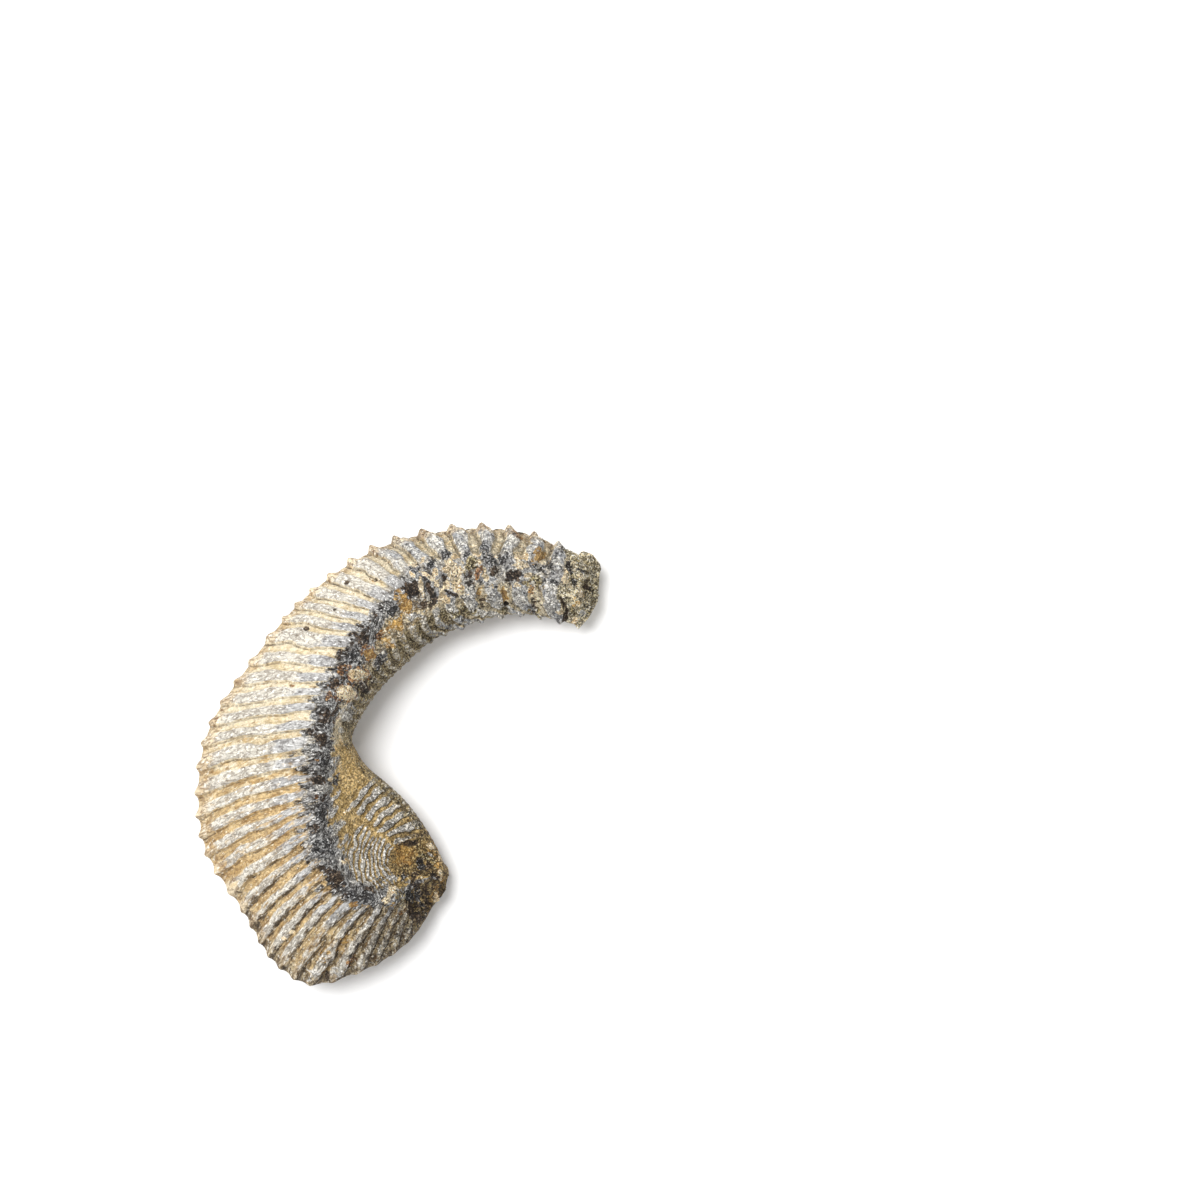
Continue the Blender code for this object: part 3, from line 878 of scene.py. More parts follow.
@dataclass(frozen=True)
class CurlRibs:
    """The ribs inside the curl: arcs round one middle, wide above and split in two below."""

    x: float = 4.6
    y: float = -23.5
    angles: Row = (75.0, 100.0, 140.0, 165.0, 185.0, 203.0, 225.0)    # degrees round the middle
    radius: Row = (10.7, 10.7, 10.7, 10.5, 9.9, 9.0, 8.1)
    pitch: Row = (2.75, 2.7, 2.1, 2.0, 1.9, 1.8, 1.75)
    whole: Limits = (68.0, 80.0, 136.0, 144.0)
    whole_reach: Limits = (4.8, 6.2, 19.5, 22.0)
    split: Limits = (140.0, 152.0, 212.0, 228.0)
    split_reach: Limits = (5.6, 6.8, 14.6, 16.4)
    split_height: float = 0.55
    turn_stray: Ripple = Ripple(5.0, 2.0, 31.0)         # degrees
    reach_stray: Ripple = Ripple(0.5, 1.8, 41.0)
    wander: tuple[Ripple, Ripple] = (Ripple(0.14, 3.6), Ripple(0.12, 1.3))

    def read(self, skin: Skin) -> Masks:
        """Reads the ribs off the smooth valve.

        Args:
            skin: The smooth valve.

        Returns:
            The ribs' height, dome and the painted shade of their crevices under these names.
        """
        shape = skin.rib
        dx = skin.points[..., 0] - self.x
        dy = skin.points[..., 1] - self.y
        angle = np.degrees(np.arctan2(dy, dx)) % 360.0 + skin.rippled(self.turn_stray)
        reach = np.hypot(dx, dy) + skin.rippled(self.reach_stray)
        radius = np.interp(angle, self.angles, self.radius)
        place = (radius - reach) / np.interp(angle, self.angles, self.pitch) + skin.rippled(*self.wander)
        whole = plateau(self.whole, angle) * plateau(self.whole_reach, reach)
        split = plateau(self.split, angle) * plateau(self.split_reach, reach)
        return {
            "height": shape.height(place) * whole + self.split_height * shape.height(2 * place) * split,
            "dome": shape.dome(place) * whole + shape.dome(2 * place) * split,
            "crevice_shade": shape.crevice_shade(place) * whole + shape.crevice_shade(2 * place) * split,
        }


@dataclass
class Valve:
    """One valve of the shell: its grid and its mesh. Each kind of valve adds its shape and its masks."""

    name: str
    node: str
    slot: str
    facing: Side
    growth: Growth
    seed: int
    per_rib: int
    tip_rows: int
    beak_rows: int
    cap_rows: int
    outer_columns: int
    inner_columns: int
    rib: RibShape = RibShape()
    course: RibCourse = RibCourse()
    floor_columns: int = 3          # columns on the seam's face
    seam_gap: float = 0.1
    edge_blend: float = 0.07        # how far across the flank turns into the seam's edge
    arm_blend: float = 0.13         # the same on the arm's outer margin
    lay_pitch: float = 4.4          # a rib's length in the grain's places (mm)
    lay_reach: float = 12.0         # a flank's length in the grain's places (mm)
    hollow_window: int = 9          # points over which a hollow is told from its surroundings
    hollow_depth: float = 0.5       # a full hollow's depth (mm)
    box_share: float = 0.999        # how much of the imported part's box is filled at most

    def build(self, material: bpy.types.Material) -> Piece:
        """Makes the valve's mesh and dresses it.

        Args:
            material: The valve's material.

        Returns:
            The finished object.
        """
        surface = self.shape()
        piece, places = self.draw_skin(surface)
        for mask, values in surface.masks.items():
            self.attach(piece, mask, "FLOAT", "value", self.with_poles(values)[places])
        self.attach(piece, "lay", "FLOAT_VECTOR", "vector", self.with_poles(surface.lay)[places])
        bpy.ops.object.shade_smooth()
        piece.data.materials.append(material)
        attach(piece, BODY)
        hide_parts(self.node)
        log.info("%s: %d faces", piece.name, len(piece.data.polygons))
        return piece

    def shape(self) -> Surface:
        """The valve's grid, shaped and with its masks."""
        raise NotImplementedError

    def relief_and_masks(self, skin: Skin) -> tuple[Array, Masks]:
        """How far each point stands out of the smooth valve (mm), and the masks that colour it."""
        raise NotImplementedError

    def draw_skin(self, surface: Surface) -> tuple[Piece, tuple[Array, Array]]:
        """Draws a closed skin over the grid.

        A sphere's rings become the rows and its segments the columns, so its poles close both ends.

        Args:
            surface: The valve's grid.

        Returns:
            The new object, and the row and the column of each of its vertices.
        """
        rows, columns = surface.points.shape[:2]
        bpy.ops.object.select_all(action="DESELECT")
        bpy.ops.mesh.primitive_uv_sphere_add(segments=columns, ring_count=rows + 1, radius=1.0)
        piece = bpy.context.object
        piece.name = self.name
        piece.data.name = self.name
        places = self.grid_places(piece, rows, columns)
        middles = surface.points.mean(axis=1, keepdims=True).repeat(columns, axis=1)
        closed = np.concatenate((middles[:1], surface.points, middles[-1:]))
        piece.data.vertices.foreach_set("co", (closed[places] * MM).astype(np.float32).ravel())
        piece.data.update()
        bpy.ops.object.mode_set(mode="EDIT")
        bpy.ops.mesh.select_all(action="SELECT")
        bpy.ops.mesh.normals_make_consistent(inside=False)
        bpy.ops.object.mode_set(mode="OBJECT")
        return piece, places

    @staticmethod
    def grid_places(piece: Piece, rows: int, columns: int) -> tuple[Array, Array]:
        """The row and the column of each vertex of the sphere that the skin starts from.

        Args:
            piece: The sphere.
            rows: How many rows the grid has.
            columns: How many columns the grid has.

        Returns:
            Row numbers, 0 and rows + 1 for the poles, and column numbers.
        """
        place = np.empty(len(piece.data.vertices) * 3, dtype=np.float32)
        piece.data.vertices.foreach_get("co", place)
        place = place.reshape(-1, 3).astype(np.float64)
        flat = np.hypot(place[:, 0], place[:, 1])
        row = np.rint(np.arctan2(flat, place[:, 2]) / np.pi * (rows + 1)).astype(int)
        turn = np.arctan2(place[:, 1], place[:, 0]) / (2 * np.pi) * columns
        column = np.rint(turn - turn.min()).astype(int) % columns
        return row, column

    @staticmethod
    def with_poles(values: Array) -> Array:
        """A grid of values with its first and last rows repeated for the poles."""
        return np.concatenate((values[:1], values, values[-1:]))

    @staticmethod
    def attach(piece: Piece, name: str, kind: str, key: str, values: Array) -> None:
        """Gives the mesh an attribute of this type, with a value for each vertex under the type's key."""
        layer = piece.data.attributes.new(name, kind, "POINT")
        layer.data.foreach_set(key, values.astype(np.float32).ravel())

    def rows_and_guides(self) -> tuple[Rows, Guides]:
        """The rows and their guide lines."""
        rows = self.growth.rows(self.per_rib, self.tip_rows, self.beak_rows, self.cap_rows)
        return rows, self.growth.guides(rows)

    def flanks(self, rows: Rows, guides: Guides, top: Array, sides: tuple[Flank, Flank]) -> Array:
        """The smooth points of both flanks.

        Args:
            rows: The rows.
            guides: The guide lines.
            top: The height at the ridge.
            sides: The ridge line, the steps and the height share of the outer and of the inner flank.

        Returns:
            Rows x columns x 3, from the outer to the inner margin.
        """
        low = guides.seam
        parts = []
        for margin, (ridge, steps, profile), bow in zip(
                (guides.outer, guides.inner), sides, self.growth.bows(rows.number)):
            run = (ridge - margin)[:, None, :]
            side = np.stack((-run[..., 1], run[..., 0]), axis=-1) * bow[:, None, None]
            step = steps[None, :, None]
            plan = margin[:, None, :] + run * step + side * (4.0 * step * (1.0 - step))
            rise = (top - low)[:, None] * profile(1.0 - steps[None, :])
            parts.append(np.concatenate((plan, (low[:, None] + rise)[..., None]), axis=2))
        return np.concatenate((parts[0], parts[1][:, ::-1]), axis=1)

    def margins(self, rows: Rows, guides: Guides) -> tuple[Array, Array]:
        """The outer and the inner zigzag margin, half the seam's gap from its middle.

        Args:
            rows: The rows.
            guides: The guide lines.

        Returns:
            A point for each row of either margin.
        """
        outer = self.growth.seam_edge(guides.outer, guides.inner, guides.seam, rows.number, 1.0)
        inner = self.growth.seam_edge(guides.inner, guides.outer, guides.seam, rows.number, 0.0)
        for edge in (outer, inner):
            edge[:, 2] += self.facing.value * self.seam_gap / 2
        return outer, inner

    def finish(self, rows: Rows, guides: Guides, points: Array, across: Array) -> Surface:
        """Adds the ribs, the seam's face, the roughness and the masks to the smooth valve.

        Args:
            rows: The rows.
            guides: The guide lines.
            points: The smooth points of both flanks.
            across: The columns' places across.

        Returns:
            The finished grid.
        """
        growth = self.growth
        noise = Noise(self.seed)
        number = np.broadcast_to(rows.number[:, None], points.shape[:2])
        aside = np.broadcast_to(across[None, :], points.shape[:2])
        phase = self.course.phases(growth, self.facing, number, aside, noise)
        pitch = np.stack([growth.pitch(points[:, column, :2], rows.number)
                          for column in range(points.shape[1])], axis=1)
        skin = Skin(points, number, aside, phase, growth.relief(pitch), noise, self.rib)
        outer, inner = self.margins(rows, guides)
        steps = np.linspace(1.0, 0.0, self.floor_columns + 2)[1:-1]     # from the inner to the outer margin
        floor = outer[:, None, :] + (inner - outer)[:, None, :] * steps[None, :, None]
        floor[..., 2] = (guides.seam + self.facing.value * self.seam_gap / 2)[:, None]
        all_across = np.concatenate((across, 2.0 * steps - 1.0))
        surface = Surface(np.concatenate((points, floor), axis=1))
        normals = surface.normals(self.facing, int(np.argmin(np.abs(across))))[:, :len(across)]
        amount, masks = self.relief_and_masks(skin)
        raised = self.raised(skin, amount, normals, (outer, inner))
        moved = np.concatenate((raised, floor), axis=1)
        middle = moved.mean(axis=1, keepdims=True)
        moved = moved + (middle - moved) * rows.close[:, None, None]
        surface.points = self.inside_box(moved + self.broken_ends(moved, rows))
        for name, values in masks.items():
            between = values[:, :1] + (values[:, -1:] - values[:, :1]) * steps
            surface.masks[name] = np.concatenate((values, between), axis=1)
        along, over = np.broadcast_arrays(rows.number[:, None] * self.lay_pitch, all_across * self.lay_reach)
        surface.lay = np.stack((along, over, np.zeros(along.shape)), axis=-1) * MM
        return surface

    def raised(self, skin: Skin, amount: Array, normals: Array, edges: tuple[Array, Array]) -> Array:
        """The smooth points with their relief, turning into the seam's edges at the margins.

        Args:
            skin: The smooth valve.
            amount: How far each point stands out (mm).
            normals: The smooth points' face directions.
            edges: The outer and the inner margin.

        Returns:
            The raised points.
        """
        large = ~skin.inner * self.growth.large_teeth(skin.number)
        blend = self.edge_blend + (self.arm_blend - self.edge_blend) * large
        fade = 1.0 - smooth(0.0, 1.0, (1.0 - skin.reach) / blend)
        edge_move = np.where(skin.inner[..., None], (edges[1] - skin.points[:, -1])[:, None, :],
                             (edges[0] - skin.points[:, 0])[:, None, :])
        return skin.points + normals * (amount * (1.0 - fade))[..., None] + edge_move * fade[..., None]

    def broken_ends(self, points: Array, rows: Rows) -> Array:
        """How the closed rows lie back from a flat end (mm), the same for both valves.

        Args:
            points: The closed points.
            rows: The rows.

        Returns:
            The moves.
        """
        growth = self.growth
        rough = growth.end_rough.at(Noise(growth.end_seed), points)
        depth = growth.end_mean + np.clip(rough, -growth.end_rough.strength, growth.end_rough.strength)
        first = (np.arange(rows.count) < rows.count // 2)[:, None]
        hollow = np.where(first, growth.tip.hollow, growth.beak.hollow)
        hollow = hollow * smooth(*growth.end_rim, rows.close)[:, None]
        way = np.where(first[..., None], growth.tip.way, growth.beak.way)
        move = -way * (hollow * depth)[..., None]
        return np.concatenate((move, np.zeros_like(points[..., :1])), axis=-1)

    def inside_box(self, points: Array) -> Array:
        """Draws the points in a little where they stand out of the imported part's box.

        Args:
            points: The points (mm).

        Returns:
            The points inside the box.
        """
        low, high = (np.array(corner) / MM for corner in CAD_BOX)
        middle = (high + low) / 2
        over = np.max(np.abs(points - middle)[..., :2] / ((high - low) / 2)[:2])
        drawn = middle + (points - middle) * min(1.0, self.box_share / over)
        drawn[..., 2] = np.clip(points[..., 2], 0.0, high[2])
        return drawn

    def hollow_shade(self, amount: Array) -> Array:
        """The painted shade of the hollows: 1 where a point lies well below its surroundings."""
        return share_of((blurred(amount, self.hollow_window) - amount) / self.hollow_depth)


@dataclass(frozen=True)
class Cover:
    """How far each point of the upper valve belongs to the shell's parts, from 0 to 1."""

    tip: Array
    arm: Array
    crest: Array
    in_curl: Array
    curl: Masks     # the height, the dome and the crevices' painted shade of the ribs inside the curl
    share: Array    # how much of the ribs' relief is left


@dataclass(frozen=True)
class Grain:
    """A roughness of the upper valve, and how strong it is on the shell's parts (mm)."""

    ripple: Ripple
    plain: float
    dome: float
    crest: float
    tip: float
    arm: float

    def at(self, skin: Skin, cover: Cover) -> Array:
        """How far the roughness stands out.

        Args:
            skin: The smooth valve.
            cover: The shell's parts.

        Returns:
            The amount at each point (mm).
        """
        strength = self.plain + self.dome * skin.dome + self.crest * cover.crest
        strength = strength + self.tip * cover.tip + self.arm * cover.arm
        return skin.rippled(self.ripple) * strength


@dataclass(frozen=True)
class UpperForm:
    """The upper valve's relief: the ribs that are left, the crest's band, the scales and the roughness."""

    tip_edge: tuple[Ripple, Ripple] = (Ripple(0.45, 3.0), Ripple(0.2, 1.0))
    arm: Patch = Patch((*BEFORE, 6.0, 10.0))
    curl: Patch = Patch((20.0, 23.0, *PAST))
    curl_ribs: CurlRibs = CurlRibs()
    curl_relief: float = 0.72
    # the dark ragged band along the crest: its width on either side, its fullness and its ragged rim
    crest_outer: Curve = Curve((0, 3, 7, 9, 12, 16, 24, 28, 30, 34, 38, 41),
                               (0.2, 0.35, 0.3, 0.2, 0.14, 0.13, 0.17, 0.19, 0.17, 0.12, 0.12, 0.12))
    crest_inner: Curve = Curve((0, 4, 8, 11, 13, 16, 20, 23, 26, 31, 35, 38, 41),
                               (0.1, 0.2, 0.2, 0.14, 0.35, 0.5, 0.5, 0.38, 0.28, 0.18, 0.12, 0.12, 0.12))
    crest_full: Curve = Curve((0, 1, 3, 6, 8, 12, 41), (0.1, 0.2, 0.32, 0.38, 0.75, 1.0, 1.0))
    crest_groove: float = 1.15
    crest_dome: float = 0.5
    crest_shake: tuple[Ripple, Ripple] = (Ripple(0.5, 2.4, 9.0), Ripple(0.3, 0.9, 19.0))
    crest_worn: float = 0.75            # the share of the ribs' relief that the crest has lost
    # how much of the ribs' relief the flanks have
    outer_relief: Curve = Curve((0, 4, 7, 11, 16, 24, 28, 32, 36, 41),
                                (1.1, 1.1, 0.8, 0.48, 0.38, 0.34, 0.42, 0.55, 0.68, 0.5))
    outer_bare: Patch = Patch((*BEFORE, 5.0, 9.0), (*BEFORE, 0.18, 0.45))
    inner_ribs: Patch = Patch((*BEFORE, 17.0, 21.0))
    inner_first: Patch = Patch((*BEFORE, 5.0, 8.0))
    first_across: Span = (0.12, 0.4)
    first_relief: float = 0.5
    low_across: Span = (0.45, 0.7)
    high_relief: float = 0.12
    low_relief: float = 0.75
    # the outer ribs that fade on the flank near the beak
    fading: Patch = Patch((25.0, 29.0, 37.0, 39.0), strength=0.5)
    fading_noise: Ripple = Ripple(1.0, 1.25, 57.0)
    fading_step: Span = (0.15, 0.5)
    fading_flank: float = 4.0
    # the knobs and steps that growth left along each rib
    scale_count: float = 7.0
    scale_stray: Ripple = Ripple(1.6, 2.0)
    scale_ribs: float = 2.4
    scale_flank: float = 3.0
    scale_height: Curve = Curve((0, 8, 12, 22, 30, 37, 41), (0.5, 0.4, 0.25, 0.3, 0.8, 0.9, 0.6))
    scale_drop: Span = (0.86, 1.0)
    scale_mean: float = 0.28
    rough: Grain = Grain(Ripple(1.0, 1.3, 0.0, 3, 0.65), 0.05, 0.09, 0.22, 0.30, 0.12)
    lumps: Grain = Grain(Ripple(1.0, 4.0, 50.0, 3, 0.55), 0.06, 0.0, 0.34, 0.45, 0.30)

    def cover(self, skin: Skin) -> Cover:
        """Tells the shell's parts apart.

        Args:
            skin: The smooth valve.

        Returns:
            The parts.
        """
        tip = 1.0 - smooth(*TIP_RIBS, skin.number + skin.rippled(*self.tip_edge))
        crest = self.crest_band(skin)
        share = np.where(skin.inner, self.inner_share(skin), self.outer_share(skin))
        share = share * (1.0 - self.crest_worn * crest) * (1.0 - tip)
        in_curl = skin.inner * skin.on(self.curl) * (1.0 - crest)
        return Cover(tip, skin.on(self.arm), crest, in_curl, self.curl_ribs.read(skin), share)

    def relief(self, skin: Skin, cover: Cover) -> Array:
        """How far each point stands out of the smooth valve.

        Args:
            skin: The smooth valve.
            cover: The shell's parts.

        Returns:
            The amounts (mm).
        """
        amount = skin.relief * cover.share * skin.rib.height(skin.phase)
        amount = amount + self.curl_relief * cover.curl["height"] * cover.in_curl
        amount = amount + self.scales(skin) * skin.dome * cover.share * (1.0 - cover.crest)
        return amount + self.rough.at(skin, cover) + self.lumps.at(skin, cover)

    def crest_band(self, skin: Skin) -> Array:
        """The dark ragged band along the crest.

        Args:
            skin: The smooth valve.

        Returns:
            1 in the band's middle and 0 off it.
        """
        outer = self.crest_outer.at(skin.number) * (self.crest_groove - self.crest_dome * skin.dome)
        wide = np.where(skin.inner, self.crest_inner.at(skin.number), outer)
        wide = wide * (1.0 + skin.rippled(*self.crest_shake))
        return self.crest_full.at(skin.number) * np.exp(-(skin.aside / wide) ** 4)

    def faded(self, skin: Skin) -> Array:
        """How far the outer ribs fade on the flank near the beak."""
        lattice = rib_lattice(skin.number, skin.aside, self.fading_flank)
        return smooth(*self.fading_step, self.fading_noise.at(skin.noise, lattice)) * skin.on(self.fading)

    def outer_share(self, skin: Skin) -> Array:
        """How much of the ribs' relief the outer flank has."""
        bare = skin.on(self.outer_bare)
        return self.outer_relief.at(skin.number) * (1.0 - bare) * (1.0 - self.faded(skin))

    def inner_share(self, skin: Skin) -> Array:
        """How much of the ribs' relief is left on the inner flank.

        Args:
            skin: The smooth valve.

        Returns:
            The share at each point.
        """
        first = skin.on(self.inner_first)
        on_first = self.first_relief * first * smooth(*self.first_across, skin.reach)
        on_rest = self.high_relief + self.low_relief * smooth(*self.low_across, skin.reach)
        return skin.on(self.inner_ribs) * (on_first + (1.0 - first) * on_rest)

    def scales(self, skin: Skin) -> Array:
        """The knobs and steps that growth left along each rib, most near the beak.

        Args:
            skin: The smooth valve.

        Returns:
            The heights (mm).
        """
        lattice = rib_lattice(skin.number * self.scale_ribs, skin.aside, self.scale_flank)
        along = skin.reach * self.scale_count + self.scale_stray.at(skin.noise, lattice)
        step = along - np.floor(along)
        saw = step ** 2 * (1.0 - smooth(*self.scale_drop, step)) - self.scale_mean
        return self.scale_height.at(skin.number) * saw


@dataclass(frozen=True)
class Stain:
    """Stains that broad noise lays on a stretch of the crest."""

    tone: Tone
    strength: float
    step: Span              # the noise at which a stain starts and is full
    way: float              # 1 where the noise is high, -1 where it is low


@dataclass(frozen=True)
class UpperTones:
    """Where the upper valve shows each kind of stone, and where its painted shade lies."""

    blotch: Ripple = Ripple(1.0, 3.2, 110.0, 3, 0.6)
    arm_crest: Patch = Patch((*BEFORE, 7.0, 9.5), (*BEFORE, 0.25, 0.6))
    arm_stains: tuple[Stain, Stain] = (Stain(Tone.CREAM, 0.85, (0.1, 0.32), 1.0),
                                       Stain(Tone.INK, 0.7, (0.16, 0.4), -1.0))
    long_crest: Patch = Patch((8.0, 11.0, *PAST))
    crest_stains: tuple[Stain, Stain] = (Stain(Tone.BROWN, 0.75, (0.18, 0.42), 1.0),
                                         Stain(Tone.PALE, 0.6, (0.24, 0.46), -1.0))
    rib_gain: float = 2.2               # how soon a low rib counts as a whole one
    crevice_gain: float = 2.0
    crevice_mean: float = 0.75
    crevice_stray: Ripple = Ripple(0.6, 3.0, 70.0)
    crevice_arm: float = 0.6            # how much less there is of a tone on this part of the shell
    groove_bare: Patch = Patch((*BEFORE, 8.0, 12.0), (*BEFORE, 0.15, 0.5))
    groove_curl: Patch = Patch((22.0, 26.0, *PAST))
    slate: Patch = Patch(across=(*BEFORE, 0.18, 0.55))
    slate_groove: float = 0.65
    slate_arm: float = 0.3
    frost_across: Span = (0.2, 0.55)
    frost_crest: float = 0.5
    margin_across: Span = (0.78, 0.98)
    margin_arm: float = 0.14            # how much further up the flank the arm's margin starts
    # the outer flank turns grey-brown and darker towards the beak: partly worn stone, partly painted shade
    wear_and_shade: Curve = Curve((0, 24, 28, 31, 34, 37, 39, 41), (0.0, 0.05, 0.35, 0.5, 0.62, 0.85, 1.0, 1.0))
    wear_and_shade_edge: Patch = Patch((25.0, 28.0, 38.0, 41.0), (0.86, 0.98, *PAST), 0.5)
    wear_and_shade_dome: float = 0.35
    # painted shade and dirt on the outer ribs' sides that face away from the light, near the beak
    lee_shade_and_dirt: Patch = Patch((23.0, 28.0, 39.0, 41.0))
    lee_mean: float = 0.55
    lee_beak: Patch = Patch((32.0, 36.0, *PAST), strength=0.25)
    ground: Patch = Patch((17.0, 23.0, *PAST))
    ground_dome: float = 0.9
    arm_gold: Patch = Patch((6.5, 9.0, 15.5, 17.5), (0.04, 0.12, 0.5, 0.62), 0.75)
    strip_full: Curve = Curve((0, 3, 6, 9, 13, 18, 21, 23.5, 41),
                              (0.35, 0.4, 0.6, 0.9, 1.0, 1.0, 0.6, 0.0, 0.0))
    strip_start: Curve = Curve((0, 5, 9, 14, 18, 21), (0.62, 0.58, 0.52, 0.6, 0.62, 0.8))
    strip_soft: Span = (-0.06, 0.1)
    strip_crust: Patch = Patch((22.0, 25.0, 38.0, 41.0), (0.86, 0.97, *PAST), 0.6)
    strip_dome: Patch = Patch((*BEFORE, 17.0, 20.0), strength=0.4)
    umbo_inner: Patch = Patch((34.5, 36.8, *PAST), (0.1, 0.3, *PAST), 0.8)
    umbo_outer: Span = (36.8, 38.6)
    umbo_slant: float = 1.2
    umbo_rim: Span = (-0.1, 0.1)
    umbo_share: float = 0.9
    ochre: Patch = Patch((15.0, 26.0, *PAST))
    ochre_dome: float = 0.8
    rugged_arm: float = 0.5
    rugged_inner: float = 0.45
    rugged_beak: Patch = Patch((33.0, 38.0, *PAST))

    def masks(self, skin: Skin, cover: Cover) -> Masks:
        """All masks but those of the marks and of the hollows.

        Args:
            skin: The smooth valve.
            cover: The shell's parts.

        Returns:
            The masks.
        """
        inner, outer = skin.inner, ~skin.inner
        crest, dome, arm, tip = cover.crest, skin.dome, cover.arm, cover.tip
        ribs = dome * share_of(cover.share * self.rib_gain)
        curl_dome = cover.curl["dome"]
        # the dark line in each crevice is painted shade
        crevice_shade = skin.rib.crevice_shade(skin.phase) * (self.crevice_mean + skin.rippled(self.crevice_stray))
        crevice_shade = crevice_shade * (1.0 - self.crevice_arm * arm) * share_of(cover.share * self.crevice_gain)
        groove = share_of(1.0 - ribs - skin.on(self.groove_bare))
        slate_ribs = 1.0 - self.slate_groove * (1.0 - dome)
        frost = np.where(inner, 1.0, smooth(*self.frost_across, skin.reach))
        margin_start, margin_full = self.margin_across
        # painted shade and dirt on the ribs' sides that face away from the light
        lee_shade_and_dirt = (self.lee_mean + skin.on(self.lee_beak)) * skin.on(self.lee_shade_and_dirt)
        rugged = crest + tip + self.rugged_arm * arm + self.rugged_inner * inner + skin.on(self.rugged_beak)
        return {
            **self.stains(skin, cover),
            "groove": groove * (1.0 - inner * skin.on(self.groove_curl)),
            "silver": share_of(curl_dome) * cover.in_curl,
            "slate": outer * skin.on(self.slate) * slate_ribs * (1.0 - self.slate_arm * arm),
            "frost": frost * arm * (1.0 - tip) * dome * (1.0 - self.frost_crest * crest),
            "umbo": self.umbo(skin),
            # painted shade in the crevices
            "crevice_shade": crevice_shade + cover.curl["crevice_shade"] * cover.in_curl,
            "margin": outer * smooth(margin_start - self.margin_arm * arm, margin_full, skin.reach),
            # grey-brown worn stone, partly painted shade towards the beak
            "wear_and_shade": outer * self.wear_and_shade_share(skin) * (1.0 - self.wear_and_shade_dome * dome),
            # painted shade and dirt on the ribs' sides that face away from the light
            "lee_shade_and_dirt": outer * lee_shade_and_dirt * skin.rib.lee_shade_and_dirt(skin.phase) * (1.0 - crest),
            "ground": inner * skin.on(self.ground) * (1.0 - crest)
                      * (1.0 - self.ground_dome * curl_dome * cover.in_curl),
            "arm_gold": inner * skin.on(self.arm_gold),
            "strip": inner * self.strip(skin) * (1.0 - dome * skin.on(self.strip_dome)),
            "crest": crest,
            "tip": tip,
            "ochre": outer * skin.on(self.ochre) * (1.0 - self.ochre_dome * ribs),
            "rugged": share_of(rugged),
        }

    def stains(self, skin: Skin, cover: Cover) -> Masks:
        """The stains that broad noise lays on the crest.

        Args:
            skin: The smooth valve.
            cover: The shell's parts.

        Returns:
            One mask for each tone.
        """
        blotch = skin.rippled(self.blotch)
        arm = skin.on(self.arm_crest) * (1.0 - cover.tip)
        rest = skin.on(self.long_crest) * cover.crest
        return {stain.tone.value: stain.strength * where * smooth(*stain.step, stain.way * blotch)
                for where, stains in ((arm, self.arm_stains), (rest, self.crest_stains)) for stain in stains}

    def wear_and_shade_share(self, skin: Skin) -> Array:
        """How grey-brown and dark the outer flank is, most near the beak: partly worn stone, partly painted
        shade.
        """
        return share_of(self.wear_and_shade.at(skin.number) + skin.on(self.wear_and_shade_edge))

    def umbo(self, skin: Skin) -> Array:
        """How brown the shell is round the beak.

        Args:
            skin: The smooth valve.

        Returns:
            The mask.
        """
        inner = skin.inner * skin.on(self.umbo_inner)
        outer = smooth(*self.umbo_outer, skin.number - self.umbo_slant * skin.reach)
        outer = outer * (1.0 - smooth(*self.umbo_rim, skin.aside))
        return share_of(inner + self.umbo_share * outer)

    def strip(self, skin: Skin) -> Array:
        """The olive strip along the inner margin.

        Args:
            skin: The smooth valve.

        Returns:
            The mask.
        """
        start = self.strip_start.at(skin.number)
        before, after = self.strip_soft
        edge = smooth(start + before, start + after, skin.aside)
        return share_of(self.strip_full.at(skin.number) * edge + skin.on(self.strip_crust))


